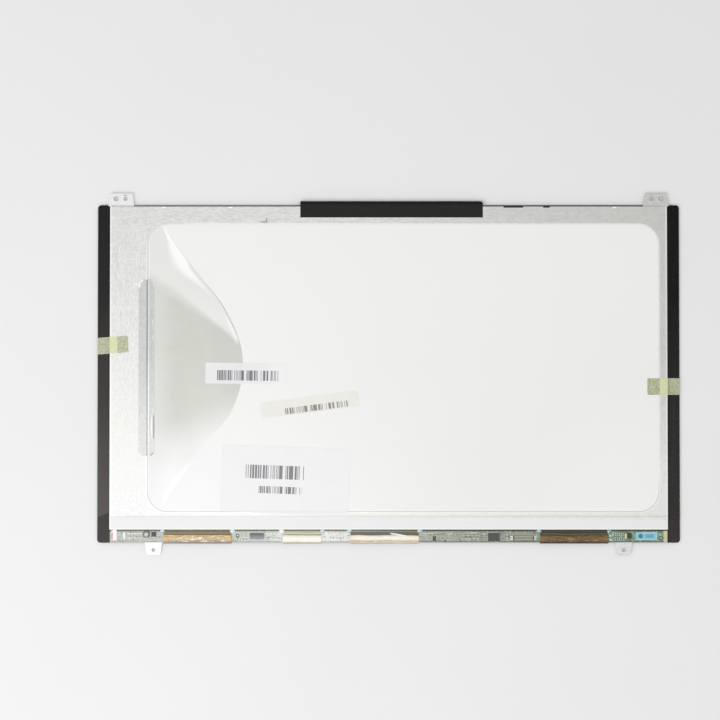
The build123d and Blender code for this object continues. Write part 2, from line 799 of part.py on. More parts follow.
memory_chip = package(memory_chip_share, memory_chip_down, memory_chip_size)
memory_chip.part.label = "memory_chip"
export_step(memory_chip.part, "parts/memory_chip.step")

tantalum_capacitor = package(tantalum_share, tantalum_down, tantalum_size)
tantalum_capacitor.part.label = "tantalum_capacitor"
export_step(tantalum_capacitor.part, "parts/tantalum_capacitor.step")

board_fuse = package(fuse_share, fuse_down, fuse_size)
board_fuse.part.label = "board_fuse"
export_step(board_fuse.part, "parts/board_fuse.step")

# Power chip: a package with a row of leads along each long side
power_body = package(power_chip_share, power_chip_down, power_chip_size)
lead_width, lead_length, lead_height = power_lead_size
with BuildPart() as power_chip:
    add(power_body.part)
    with BuildSketch(Plane.XY.offset(board_top_z)):
        with Locations(on_board(power_chip_share, power_chip_down)):
            with GridLocations(power_lead_pitch, power_chip_size[1] + lead_length, power_lead_count, 2):
                Rectangle(lead_width, lead_length)
    extrude(amount=lead_height)
power_chip.part.label = "power_chip"
export_step(power_chip.part, "parts/power_chip.step")

# Inductor of the lamps' supply: a squat block with round corners
with BuildPart() as backlight_inductor:
    with BuildSketch(Plane.XY.offset(board_top_z)):
        with Locations(on_board(inductor_share, inductor_down)):
            RectangleRounded(inductor_size[0], inductor_size[1], inductor_corner_radius)
    extrude(amount=inductor_size[2])
    chamfer(backlight_inductor.edges().group_by(Axis.Z)[-1], package_chamfer)
backlight_inductor.part.label = "backlight_inductor"
export_step(backlight_inductor.part, "parts/backlight_inductor.step")


def row_places(row_shares, downs, counts):
    """Centres of the small chips in rows, each spread evenly from its first chip to its last."""
    places = []
    for (first, last), down, count in zip(row_shares, downs, counts):
        step = (last - first) / (count - 1)
        places += [on_board(first + number * step, down) for number in range(count)]
    return places


with BuildPart() as chip_capacitors:
    with BuildSketch(Plane.XY.offset(board_top_z)):
        with Locations(row_places(capacitor_row_shares, capacitor_row_downs, capacitor_row_counts)):
            Rectangle(capacitor_size[0], capacitor_size[1])
    extrude(amount=capacitor_size[2])
chip_capacitors.part.label = "chip_capacitors"
export_step(chip_capacitors.part, "parts/chip_capacitors.step")

with BuildPart() as chip_resistors:
    with BuildSketch(Plane.XY.offset(board_top_z)):
        with Locations(row_places(resistor_row_shares, resistor_row_downs, resistor_row_counts)):
            Rectangle(resistor_size[0], resistor_size[1])
    extrude(amount=resistor_size[2])
chip_resistors.part.label = "chip_resistors"
export_step(chip_resistors.part, "parts/chip_resistors.step")

# Signal connector: a moulded housing with a wide mouth, contacts on its floor and a steel shell over it
connector_x, connector_y = on_board(connector_share, connector_down)
connector_front_y = connector_y - connector_depth / 2
contact_row_length = (contact_count - 1) * contact_pitch + contact_size[0]
connector_length = contact_row_length + 2 * (contact_end_gap + connector_end_wall)
mouth_z = board_top_z + connector_floor
with BuildPart() as connector_housing:
    with BuildSketch(Plane.XY.offset(board_top_z)):
        with Locations((connector_x, connector_y)):
            Rectangle(connector_length, connector_depth)
    extrude(amount=connector_height)
    with BuildSketch(Plane.XY.offset(mouth_z)):
        with Locations((connector_x, connector_front_y)):
            Rectangle(connector_length - 2 * connector_end_wall, 2 * connector_mouth_depth)
    extrude(amount=connector_mouth_height, mode=Mode.SUBTRACT)
connector_housing.part.label = "connector_housing"
export_step(connector_housing.part, "parts/connector_housing.step")

with BuildPart() as connector_contacts:
    with BuildSketch(Plane.XY.offset(mouth_z)):
        with Locations((connector_x, connector_front_y + connector_mouth_depth - contact_size[1] / 2)):
            with GridLocations(contact_pitch, 1, contact_count, 1):
                Rectangle(contact_size[0], contact_size[1])
    extrude(amount=contact_size[2])
connector_contacts.part.label = "connector_contacts"
export_step(connector_contacts.part, "parts/connector_contacts.step")

shell_side_x = connector_length / 2 + connector_shell_sheet / 2
shell_top_z = board_top_z + connector_height + connector_shell_sheet / 2
with BuildPart() as connector_shell:
    with BuildSketch(Plane.XZ.offset(-connector_front_y)):
        with BuildLine():
            Polyline(
                (connector_x - shell_side_x, board_top_z),
                (connector_x - shell_side_x, shell_top_z),
                (connector_x + shell_side_x, shell_top_z),
                (connector_x + shell_side_x, board_top_z),
            )
        trace(line_width=connector_shell_sheet)
    extrude(amount=-connector_shell_depth)
connector_shell.part.label = "connector_shell"
export_step(connector_shell.part, "parts/connector_shell.step")

# Sticker and end tape on the board
with BuildPart() as board_sticker:
    with BuildSketch(Plane.XY.offset(board_top_z)):
        with Locations(on_board(board_sticker_share, board_sticker_down)):
            Rectangle(*board_sticker_size)
    extrude(amount=board_sticker_thickness)
board_sticker.part.label = "board_sticker"
export_step(board_sticker.part, "parts/board_sticker.step")

with BuildPart() as board_end_tape:
    with BuildSketch(Plane.XY.offset(board_top_z)):
        with Locations((board_half_length - board_end_tape_width / 2, board_mid_y)):
            Rectangle(board_end_tape_width, board_width)
    extrude(amount=board_end_tape_thickness)
board_end_tape.part.label = "board_end_tape"
export_step(board_end_tape.part, "parts/board_end_tape.step")

# Top edge tape: black, from the cover round the top edge in a loose fold to the front border, with one
# corner of the fold clipped
top_tape_back_z = cover_top_z + top_tape_thickness / 2
top_tape_front_z = colour_filter_z - top_tape_thickness / 2
top_tape_fold_y = panel_top_y + top_tape_overhang - top_tape_thickness / 2
top_tape_fold_radius = (top_tape_back_z - top_tape_front_z) / 2
top_tape_mid_x = (top_tape_left_x + top_tape_right_x) / 2
with BuildPart() as top_edge_tape:
    with BuildSketch(Plane.YZ.offset(top_tape_mid_x)):
        with BuildLine():
            Line(
                (cover_top_y - top_tape_lap, top_tape_back_z),
                (top_tape_fold_y - top_tape_fold_radius, top_tape_back_z),
            )
            ThreePointArc(
                (top_tape_fold_y - top_tape_fold_radius, top_tape_back_z),
                (top_tape_fold_y, (top_tape_back_z + top_tape_front_z) / 2),
                (top_tape_fold_y - top_tape_fold_radius, top_tape_front_z),
            )
            Line(
                (top_tape_fold_y - top_tape_fold_radius, top_tape_front_z),
                (panel_top_y - top_tape_front_lap, top_tape_front_z),
            )
        trace(line_width=top_tape_thickness)
    extrude(amount=(top_tape_right_x - top_tape_left_x) / 2, both=True)
    with BuildSketch():
        with BuildLine():
            Polyline(
                (top_tape_right_x - top_tape_clip, panel_top_y + top_tape_overhang),
                (top_tape_right_x, panel_top_y + top_tape_overhang - top_tape_clip),
                (top_tape_right_x, panel_top_y + top_tape_overhang),
                close=True,
            )
        make_face()
    extrude(amount=cover_top_z + top_tape_thickness, mode=Mode.SUBTRACT)
top_edge_tape.part.label = "top_edge_tape"
export_step(top_edge_tape.part, "parts/top_edge_tape.step")

# Hold tapes: yellow strips from the border of the glass up on to the cover, the left one stuck on askew, the
# right one down again on to the reflector
hold_low_z = cell_back_z + border_tape_thickness + hold_tape_thickness / 2
hold_high_z = cover_top_z + hold_tape_thickness / 2
hold_film_z = cover_z + hold_tape_thickness / 2
with BuildPart() as left_hold_tape:
    with BuildSketch(Plane.XZ.offset(-left_hold_tape_y)):
        with BuildLine():
            FilletPolyline(
                (-panel_side_x, hold_low_z),
                (-cover_side_x - hold_tape_foot, hold_low_z),
                (-cover_side_x - hold_tape_shoulder, hold_high_z),
                (left_hold_tape_length + hold_tape_width - panel_side_x, hold_high_z),
                radius=hold_tape_bend_radius,
            )
        trace(line_width=hold_tape_thickness)
    extrude(amount=left_hold_tape_length, both=True)
    with BuildSketch(Plane.XY.offset(cell_back_z)):
        with Locations((-panel_side_x, left_hold_tape_y)):
            Rectangle(2 * left_hold_tape_length, hold_tape_width, rotation=left_hold_tape_turn)
    extrude(amount=cover_top_z + hold_tape_thickness, mode=Mode.INTERSECT)
left_hold_tape.part.label = "left_hold_tape"
export_step(left_hold_tape.part, "parts/left_hold_tape.step")

with BuildPart() as right_hold_tape:
    with BuildSketch(Plane.XZ.offset(-right_hold_tape_y)):
        with BuildLine():
            FilletPolyline(
                (panel_side_x, hold_low_z),
                (cover_side_x + hold_tape_foot, hold_low_z),
                (cover_side_x + hold_tape_shoulder, hold_high_z),
                (window_right_x - step_clearance, hold_high_z),
                (window_right_x - step_clearance - step_run, hold_film_z),
                (panel_side_x - right_hold_tape_length, hold_film_z),
                radius=hold_tape_bend_radius,
            )
        trace(line_width=hold_tape_thickness)
    extrude(amount=hold_tape_width / 2, both=True)
right_hold_tape.part.label = "right_hold_tape"
export_step(right_hold_tape.part, "parts/right_hold_tape.step")

# Reflector tape: clear tape from the cover on to the buckled film, with clipped corners. A flat arc leaves
# its chord at four times its rise over its length, which gives the film's height under the tape's end.
buckle_start_slope = 4 * buckle_slope
film_rise_at_tape = buckle_start_slope * (reflector_tape_film_lap - buckle_edge_gap)
reflector_tape_end_z = cover_z + film_rise_at_tape + reflector_tape_ease
reflector_tape_left_x = window_left_x - reflector_tape_cover_lap
reflector_tape_right_x = window_left_x + reflector_tape_film_lap
with BuildPart() as reflector_tape:
    with BuildSketch(Plane.XZ.offset(-reflector_tape_y)):
        with BuildLine():
            Polyline(
                (reflector_tape_left_x, cover_top_z + reflector_tape_thickness / 2),
                (window_left_x, cover_top_z + reflector_tape_thickness / 2),
                (reflector_tape_right_x, reflector_tape_end_z + reflector_tape_thickness / 2),
            )
        trace(line_width=reflector_tape_thickness)
    extrude(amount=reflector_tape_length / 2, both=True)
    with BuildSketch(Plane.XY.offset(cover_z)) as tape_outline:
        with Locations(((reflector_tape_left_x + reflector_tape_right_x) / 2, reflector_tape_y)):
            Rectangle(reflector_tape_right_x - reflector_tape_left_x, reflector_tape_length)
        chamfer(tape_outline.vertices(), reflector_tape_corner)
    extrude(amount=2 * (reflector_tape_end_z - cover_z), mode=Mode.INTERSECT)
reflector_tape.part.label = "reflector_tape"
export_step(reflector_tape.part, "parts/reflector_tape.step")

# White label: lies half on the flat film and half on the buckle, and follows it
label_z = cover_z + label_bond
label_swell = buckle(label_z + label_thickness, label_thickness)
label_hollow = buckle(label_z, label_thickness)
with BuildPart() as white_label:
    with BuildSketch(Plane.XY.offset(label_z)):
        with Locations(in_window(white_label_place)):
            Rectangle(*white_label_size, rotation=white_label_turn)
    extrude(amount=label_thickness)
    add(label_swell)
    with BuildSketch(Plane.XY.offset(label_z)):
        with Locations(in_window(white_label_place)):
            Rectangle(*white_label_size, rotation=white_label_turn)
    extrude(amount=white_label_size[1], mode=Mode.INTERSECT)
    add(label_hollow, mode=Mode.SUBTRACT)
white_label.part.label = "white_label"
export_step(white_label.part, "parts/white_label.step")

# Cream label: a slanted strip with round ends on the flat film
with BuildPart() as cream_label:
    with BuildSketch(Plane.XY.offset(label_z)):
        with Locations(in_window(cream_label_place)):
            RectangleRounded(*cream_label_size, cream_label_corner_radius, rotation=cream_label_turn)
    extrude(amount=label_thickness)
cream_label.part.label = "cream_label"
export_step(cream_label.part, "parts/cream_label.step")

# Large label: on the film, and up over the window's lower edge on to the cover
large_label_x, large_label_y = in_window((large_label_run, large_label_size[1] / 2 - large_label_drop))
large_label_low_z = label_z + label_thickness / 2
large_label_high_z = large_label_low_z + cover_sheet
label_span = large_label_size[0] + large_label_size[1]
with BuildPart() as large_label:
    with BuildSketch(Plane.YZ.offset(large_label_x)):
        with BuildLine():
            Polyline(
                (window_bottom_y - label_span, large_label_high_z),
                (window_bottom_y + step_clearance, large_label_high_z),
                (window_bottom_y + step_clearance + step_run, large_label_low_z),
                (window_bottom_y + label_span, large_label_low_z),
            )
        trace(line_width=label_thickness)
    extrude(amount=label_span / 2, both=True)
    with BuildSketch(Plane.XY.offset(cover_z)):
        with Locations((large_label_x, large_label_y)):
            Rectangle(*large_label_size, rotation=large_label_turn)
    extrude(amount=2 * (cover_top_z - cover_z), mode=Mode.INTERSECT)
large_label.part.label = "large_label"
export_step(large_label.part, "parts/large_label.step")
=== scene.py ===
"""Back of a laptop screen panel lying face down: glass cell, backlight in a steel cover, driver board."""
import math
import random

import bmesh
import bpy
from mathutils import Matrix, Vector
from mathutils import noise as smooth_noise


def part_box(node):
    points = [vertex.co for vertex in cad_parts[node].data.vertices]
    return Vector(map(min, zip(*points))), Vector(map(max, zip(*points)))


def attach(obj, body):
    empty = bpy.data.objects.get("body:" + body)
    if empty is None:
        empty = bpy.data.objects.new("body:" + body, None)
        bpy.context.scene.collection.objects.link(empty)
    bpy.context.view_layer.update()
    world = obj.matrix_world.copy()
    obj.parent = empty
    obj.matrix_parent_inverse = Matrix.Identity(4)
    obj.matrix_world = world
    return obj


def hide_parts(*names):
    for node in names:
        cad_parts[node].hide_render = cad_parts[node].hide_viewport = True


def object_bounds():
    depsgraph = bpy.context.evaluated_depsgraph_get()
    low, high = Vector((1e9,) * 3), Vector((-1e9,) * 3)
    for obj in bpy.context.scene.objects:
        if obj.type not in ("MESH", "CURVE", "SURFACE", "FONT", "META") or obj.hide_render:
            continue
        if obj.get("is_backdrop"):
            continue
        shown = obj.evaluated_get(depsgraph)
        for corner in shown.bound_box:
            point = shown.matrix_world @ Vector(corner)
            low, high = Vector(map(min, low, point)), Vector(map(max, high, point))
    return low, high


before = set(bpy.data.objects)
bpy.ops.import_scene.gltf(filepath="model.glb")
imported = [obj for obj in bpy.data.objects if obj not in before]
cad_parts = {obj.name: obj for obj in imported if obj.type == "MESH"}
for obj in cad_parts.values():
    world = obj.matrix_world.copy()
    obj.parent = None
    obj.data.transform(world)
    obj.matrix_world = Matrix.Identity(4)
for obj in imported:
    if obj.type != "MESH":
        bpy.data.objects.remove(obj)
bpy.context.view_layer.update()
bpy.context.scene.view_settings.view_transform = "Standard"


# Display face: a dark polarizing film with an anti-glare coat, laminated on the front glass.
# It is cast and slit from a web, and the black border printed behind it shows round the picture area.
mm = 0.001
picture_width, picture_height = 344.2, 193.6


def box_mm(node):
    """Low and high corner of a CAD node's box, in millimetres."""
    return [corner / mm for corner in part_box(node)]


def tone(red, green, blue):
    """Linear colour of a surface, given as it looks on a screen from 0 to 255."""
    parts = (red / 255, green / 255, blue / 255)
    return tuple(part / 12.92 if part < 0.04 else ((part + 0.055) / 1.055) ** 2.4 for part in parts)


class Amount:
    """Number or colour that varies over a surface. Sums and products of amounts are shader Math nodes."""

    def __init__(self, socket):
        self.socket = socket
        self.tree = socket.id_data

    def calc(self, operation, *values):
        """Result of a Math node."""
        return add_node(self.tree, "Math", dict(enumerate(values)), operation=operation)

    def __add__(self, other):
        return self.calc("ADD", self, other)

    def __sub__(self, other):
        return self.calc("SUBTRACT", self, other)

    def __rsub__(self, other):
        return self.calc("SUBTRACT", other, self)

    def __mul__(self, other):
        return self.calc("MULTIPLY", self, other)

    def __truediv__(self, other):
        return self.calc("DIVIDE", self, other)

    def __pow__(self, other):
        return self.calc("POWER", self, other)

    def __abs__(self):
        return self.calc("ABSOLUTE", self)


def add_node(tree, kind, sockets=None, output=0, **settings):
    """One output of a new shader node. Its sockets take plain values, screen colours or amounts."""
    made = tree.nodes.new("ShaderNode" + kind)
    for name, value in settings.items():
        setattr(made, name, value)
    for name, value in (sockets or {}).items():
        if isinstance(value, Amount):
            tree.links.new(value.socket, made.inputs[name])
        elif made.inputs[name].type == "RGBA":
            made.inputs[name].default_value = (*tone(*value), 1.0)
        else:
            made.inputs[name].default_value = value
    return Amount(made.outputs[output])


def smaller(first, second):
    """The smaller of an amount and a second one."""
    return first.calc("MINIMUM", first, second)


def larger(first, second):
    """The larger of an amount and a second one."""
    return first.calc("MAXIMUM", first, second)


def step(amount, start, end):
    """Soft step from 0 to 1 as an amount goes from start to end."""
    sockets = {"Value": amount, "From Min": start, "From Max": end}
    return add_node(amount.tree, "MapRange", sockets, interpolation_type="SMOOTHSTEP")


def blend(amount, first, second):
    """Colour that goes from the first to the second as an amount goes from 0 to 1."""
    return add_node(amount.tree, "Mix", {0: amount, 6: first, 7: second}, 2, data_type="RGBA")


class Finish:
    """Material with one Principled shader, given to CAD nodes. It knows each place in millimetres."""

    def __init__(self, name, nodes, roughness, **others):
        self.material = bpy.data.materials.new(name)
        self.material.use_nodes = True
        self.tree = self.material.node_tree
        self.shader = self.tree.nodes["Principled BSDF"]
        self.shader.inputs["Roughness"].default_value = roughness
        for socket, value in others.items():
            self.shader.inputs[socket.replace("_", " ")].default_value = value
        for node in nodes:
            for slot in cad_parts[node].material_slots:
                slot.material = self.material
        metres = add_node(self.tree, "TexCoord", output="Object")
        per_metre = (1000, 1000, 1000)
        self.place = add_node(self.tree, "VectorMath", {0: metres, 1: per_metre}, operation="MULTIPLY")
        axes = [add_node(self.tree, "SeparateXYZ", {0: self.place}, axis) for axis in range(3)]
        self.x, self.y, self.z = axes

    def mottle(self, patch, detail=3.0, stretch=(1, 1, 1)):
        """Soft noise from 0 to 1, in patches about so many millimetres wide."""
        scale = tuple(1 / (patch * part) for part in stretch)
        spread = add_node(self.tree, "VectorMath", {0: self.place, 1: scale}, operation="MULTIPLY")
        return add_node(self.tree, "TexNoise", {"Vector": spread, "Scale": 1.0, "Detail": detail})

    def follow(self, socket, amount):
        """Lets a socket of the shader follow an amount."""
        self.tree.links.new(amount.socket, self.shader.inputs[socket])

    def paint(self, colour):
        """Sets the colour."""
        self.colour = colour
        self.follow("Base Color", colour)

    def base(self, amount, first, second):
        """Sets a colour that goes from the first to the second as an amount goes from 0 to 1."""
        self.paint(blend(amount, first, second))

    def layer(self, amount, colour):
        """Lays a colour over the one so far, where and as far as an amount is above 0."""
        self.paint(blend(amount, self.colour, colour))

    def gloss(self, amount, smooth, rough):
        """Lets the roughness go from smooth to rough with an amount."""
        sockets = {"Value": amount, "To Min": smooth, "To Max": rough}
        self.follow("Roughness", add_node(self.tree, "MapRange", sockets))

    def emboss(self, height, depth):
        """Relief too fine to be modelled, so many millimetres deep."""
        self.follow("Normal", add_node(self.tree, "Bump", {"Height": height, "Distance": depth * mm}))


face = Finish("display_face", ["front_polarizer"], 0.34, IOR=1.45)
sheet_low, sheet_high = box_mm("diffuser_sheet")
from_side = picture_width / 2 - abs(face.x)
from_end = picture_height / 2 - abs(face.y - (sheet_low.y + sheet_high.y) / 2)
in_picture = step(smaller(from_side, from_end), -0.05, 0.05)
unlit = blend(face.mottle(45.0), (34, 35, 39), (42, 43, 47))
face.paint(blend(in_picture, (19, 19, 21), unlit))
face.gloss(face.mottle(12.0), 0.28, 0.4)
face.emboss(face.mottle(0.18, 2.0), 0.006)


# Cell glass: two sheets of thin float glass bonded face to face, scored and broken to size.
# A black border is printed between them, so the rim and the bare bonding ledge look dark and glossy.
# The rear polarizer is a dark film laminated on the upper sheet.
def plain_finish(name, nodes, roughness, patch, dark, light, detail=3.0, grain=None, **others):
    """Finish in two near tones, with a fine relief where its grain is given as width and depth."""
    made = Finish(name, nodes, roughness, **others)
    made.base(made.mottle(patch, detail), dark, light)
    if grain:
        made.emboss(made.mottle(grain[0]), grain[1])
    return made


glass = Finish("cell_glass", ["colour_filter_glass", "array_glass"], 0.1, IOR=1.52, Specular_IOR_Level=0.16)
glass_top_y = box_mm("array_glass")[1].y
smear = glass.mottle(9.0, 4.0, (1, 3, 1))
glass.base(smear, (40, 37, 38), (62, 56, 54))
# Painted highlight: a pale line along the glass's top rim, strongest at the left, on the lamps' side.
top_rim_painted_highlight = step(glass.y, glass_top_y - 1.6, glass_top_y - 1.2) * step(glass.x, 60.0, -150.0)
glass.layer(top_rim_painted_highlight * 0.75, (128, 126, 122))
dust = step(glass.mottle(1.6, 6.0), 0.62, 0.8)
glass.layer(dust, (96, 92, 86))
glass.gloss(smear, 0.06, 0.22)
plain_finish("rear_polarizer", ["rear_polarizer"], 0.2, 30.0, (44, 44, 48), (56, 56, 61), IOR=1.48)


# Border tapes: black satin film stuck on the glass beside the backlight, to stop light from leaking.
# They are cut from a roll and pressed down by hand, and pick up dust and rubs. Their black is painted
# lighter and browner low down, a painted reflection of the lamps.
def shades(amount, *stops):
    """Colour along an amount: each stop is a place from 0 to 1 and the screen colour there."""
    colour = add_node(amount.tree, "ValToRGB", {0: amount})
    elements = colour.socket.node.color_ramp.elements
    elements[0].position, elements[1].position = stops[0][0], stops[-1][0]
    for place, _ in stops[1:-1]:
        elements.new(place)
    for element, (_, screen_colour) in zip(elements, stops):
        element.color = (*tone(*screen_colour), 1.0)
    return colour


border = Finish("black_border_tape", ["left_border_tape", "right_border_tape", "cell_bonding_tape"], 0.4,
                Specular_IOR_Level=0.14)
border_low, border_high = box_mm("left_border_tape")
height = (border.y - border_low.y) / (border_high.y - border_low.y)
# Painted reflection: each tape grows lighter and browner towards its lower end, the left one more.
left_black_painted_sheen = shades(height, (0.0, (88, 83, 80)), (0.19, (76, 71, 69)), (0.37, (60, 57, 55)),
                    (0.54, (50, 48, 47)), (0.72, (32, 31, 31)), (1.0, (25, 24, 24)))
right_black_painted_sheen = shades(height, (0.0, (48, 46, 44)), (0.3, (40, 38, 36)), (0.72, (11, 11, 10)),
                     (1.0, (6, 6, 5)))
border.base(step(border.x, -20.0, 20.0), left_black_painted_sheen, right_black_painted_sheen)
rubs = step(border.mottle(2.0, 4.0, (0.5, 14, 1)), 0.52, 0.8)
border.layer(rubs * 0.25, (78, 74, 70))
lint = step(border.mottle(0.9, 5.0), 0.66, 0.76)
border.layer(lint * 0.5, (130, 126, 120))
border.gloss(border.mottle(6.0, 3.0, (1, 4, 1)), 0.3, 0.48)
border.emboss(border.mottle(3.0, 3.0, (1, 5, 1)), 0.02)


# Mould frame: a thin black rim of moulded polycarbonate that the films and the light guide lie in.
# The cover clips over it, and it shows as dark steps in the cover's edge notches.
plain_finish("moulded_black", ["mould_frame"], 0.5, 2.5, (28, 28, 28), (40, 40, 39), grain=(0.25, 0.01))


# Optical sheets: two ribbed prism films and a frosted diffuser film, die-cut and laid loose in the frame.
# They are closed in under the reflector and the cover.
def fract(amount):
    """What is left of an amount beside its whole number."""
    return amount.calc("FRACT", amount)


ribs_per_mm = 20.0
sheet_nodes = ["upper_prism_sheet", "lower_prism_sheet", "diffuser_sheet"]
sheet = plain_finish("optical_sheet", sheet_nodes, 0.32, 25.0, (232, 236, 238), (244, 246, 247))
sheet.emboss(fract(sheet.y * ribs_per_mm), 0.01)


# Light guide: a moulded acrylic plate, lit from its lower edge, with white dots printed on one face.
# It lies in the mould frame between the diffuser and the reflector.
guide = Finish("light_guide", ["light_guide_plate"], 0.12, IOR=1.49)
dots = add_node(guide.tree, "TexVoronoi", {"Vector": guide.place, "Scale": 0.9, "Randomness": 0.15})
guide.base(step(dots, 0.32, 0.26), (214, 226, 227), (244, 246, 244))


# Light bar: a strip of polyimide flex with a row of lamps along the guide's lower edge.
# Its tail comes out beside the board's left end, with copper pads and a white stiffener.
flex = Finish("light_flex", ["light_bar_flex"], 0.3)
stiffener_x = box_mm("light_bar_flex")[0].x + 1.0
pads = step(flex.mottle(0.5, 2.0, (6, 1, 1)), 0.47, 0.53)
flex.base(pads, (205, 158, 144), (236, 208, 194))
white = blend(flex.mottle(1.2), (236, 236, 233), (248, 248, 246))
flex.layer(step(flex.x, stiffener_x, stiffener_x + 0.15), white)
flex.emboss(pads, 0.02)
plain_finish("lamp", ["light_bar_leds"], 0.25, 0.8, (236, 214, 120), (246, 240, 206))


# Reflector: a thin glossy white polyester film behind the light guide, seen through the cover's window.
# It has come loose along the left side and stands up in one long buckle with a sharp crease. The buckle's
# shade and highlights, and a shadow at the window's edge, are painted on the film.
back_low, back_high = box_mm("rear_polarizer")
window_left, window_right = back_low.x + 23.3, back_high.x - 5.3
window_low, window_top = back_low.y + 10.9, back_high.y - 11.1
window_mid, window_half = (window_low + window_top) / 2, (window_top - window_low) / 2
window_corner = 13.0
film_low, film_high = box_mm("reflector_sheet")
film_thickness = 0.15
film_base = box_mm("light_guide_plate")[1].z + film_thickness
crease_points = ((1.0, 9.5), (0.94, 12.5), (0.70, 28.0), (0.41, 48.0), (0.06, 59.4), (-0.31, 52.0),
                 (-0.58, 31.0), (-0.93, 11.5), (-1.0, 9.0))
buckle_rise = 0.02


def smooth_through(points, place):
    """Value at a place on a smooth curve through points whose places fall from first to last."""
    if place >= points[0][0]:
        return points[0][1]
    for i in range(len(points) - 1):
        (start, first), (end, last) = points[i], points[i + 1]
        if place < end:
            continue
        before, after = points[max(i - 1, 0)], points[min(i + 2, len(points) - 1)]
        run = end - start
        slope_in = (last - before[1]) / (end - before[0]) * run
        slope_out = (after[1] - first) / (after[0] - start) * run
        t = (place - start) / run
        rise = first * (1 + 2 * t) * (1 - t) ** 2 + last * t * t * (3 - 2 * t)
        return rise + slope_in * t * (1 - t) ** 2 - slope_out * t * t * (1 - t)
    return points[-1][1]


def soft(start, end, value):
    """Soft step from 0 to 1 as a plain number goes from start to end."""
    t = min(max((value - start) / (end - start), 0.0), 1.0)
    return t * t * (3 - 2 * t)


def crease_x(y):
    """Where the buckle's crease runs at a height on the panel, in millimetres."""
    return window_left + smooth_through(crease_points, (y - window_mid) / window_half)


def film_height(x, y):
    """Height of the reflector's upper face, in millimetres."""
    share = (y - window_mid) / window_half
    start, end = window_left + 0.6, crease_x(y)
    if abs(share) >= 1 or not start < x < end:
        return film_base
    t = (x - start) / (end - start)
    return film_base + 4 * buckle_rise * (end - window_left) * (1 - share ** 2) * t * (1 - t)


def put_in_scene(name, mesh, finish):
    """New piece from a mesh, fixed to the panel."""
    mesh.materials.append(finish.material)
    made = bpy.data.objects.new(name, mesh)
    bpy.context.scene.collection.objects.link(made)
    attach(made, "root")
    return made


def sheet_piece(name, node, rows, thickness, finish, marks):
    """Closed thin sheet under rows of points, in a CAD node's place. Marks are numbers at each point."""
    width, count = len(rows[0]), len(rows) * len(rows[0])
    points = [point for row in rows for point in row]
    under = [(x, y, z - thickness) for x, y, z in points]
    faces = []
    for j in range(len(rows) - 1):
        for i in range(width - 1):
            a = j * width + i
            faces.append((a, a + 1, a + width + 1, a + width))
            faces.append((a + count, a + count + width, a + count + width + 1, a + count + 1))
    rim = list(range(width)) + [j * width + width - 1 for j in range(1, len(rows))]
    rim += [count - 1 - i for i in range(1, width)] + [j * width for j in range(len(rows) - 2, 0, -1)]
    for k in range(len(rim)):
        a, b = rim[k], rim[(k + 1) % len(rim)]
        faces.append((b, a, a + count, b + count))
    mesh = bpy.data.meshes.new(name)
    mesh.from_pydata([Vector(point) * mm for point in points + under], [], faces)
    for mark, values in marks.items():
        layer = mesh.attributes.new(mark, "FLOAT", "POINT")
        layer.data.foreach_set("value", list(values) * 2)
    for polygon in mesh.polygons[:len(mesh.polygons) - len(rim)]:
        polygon.use_smooth = True
    made = put_in_scene(name, mesh, finish)
    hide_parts(node)


def mark_of(finish, name):
    """Number kept at each point of a sheet."""
    return add_node(finish.tree, "Attribute", output="Fac", attribute_name=name)


def inside_window(finish):
    """How far a place lies inside the cover's window, in millimetres, and below zero outside it."""
    straight_x = (window_right - window_left) / 2 - window_corner
    over_x = abs(finish.x - (window_left + window_right) / 2) - straight_x
    over_y = abs(finish.y - window_mid) - (window_half - window_corner)
    round_corner = (larger(over_x, 0.0) ** 2 + larger(over_y, 0.0) ** 2) ** 0.5
    return window_corner - round_corner - smaller(larger(over_x, over_y), 0.0)


highlight_widths = ((92.0, 0.4), (83.1, 3.2), (73.8, 7.8), (64.4, 9.4), (55.1, 5.6), (45.8, 2.0), (38.0, 0.3))
highlight_streak_points = ((-54.3, -122.8), (-61.0, -127.5), (-67.3, -132.6), (-72.5, -136.6), (-77.6, -138.9),
                 (-83.0, -139.8))


def leaf_painted_shade(x, y):
    """How strongly painted shade greys the buckle's side at a place in millimetres, from 0 to 1."""
    upper_edge = 55.1 - 0.79 * (x + 137.1)
    upper_blur = 8.8 - 6.0 * soft(-140, -103, x)
    lower_edge = -40.5 + 0.62 * max(x + 123.0, 0.0)
    lower_blur = 18.0
    below = soft(upper_edge + upper_blur, upper_edge - upper_blur, y)
    deep = below * soft(lower_edge - lower_blur, lower_edge + lower_blur, y)
    beside_tape = 0.4 * soft(-131, -146, x) * (0.6 + 0.4 * soft(20, 0, y))
    veil = (0.17 + 0.16 * soft(35, 58, y) + 0.08 * soft(-20, -40, y)) * soft(97, 88, y) * soft(-66, -46, y)
    return max(deep * (1 - beside_tape), veil)


def leaf_painted_highlight(x, y):
    """How strongly a painted highlight lights the buckle, from 0 to 1: beside its crease, and in a streak
    low on the left.
    """
    from_crease = crease_x(y) - x
    width = max(smooth_through(highlight_widths, y), 0.05)
    gap = 3.4 * soft(73, 65, y)
    beside = soft(1.35 * width, 0.55 * width, from_crease) * soft(gap - 2.4, gap, from_crease)
    beside *= soft(40, 66, y)
    painted_glint = 0.6 * soft(1.7, 0.6, abs(from_crease - 1.6)) * soft(17, 23, y) * soft(37, 31, y)
    from_streak = abs(x - smooth_through(highlight_streak_points, y))
    streak_half = 0.6 + 2.5 * soft(-82, -71, y) * soft(-54, -65, y)
    streak = soft(streak_half, 0.2 * streak_half, from_streak) * soft(-84, -78, y) * soft(-53, -57, y)
    return max(beside, painted_glint, streak)


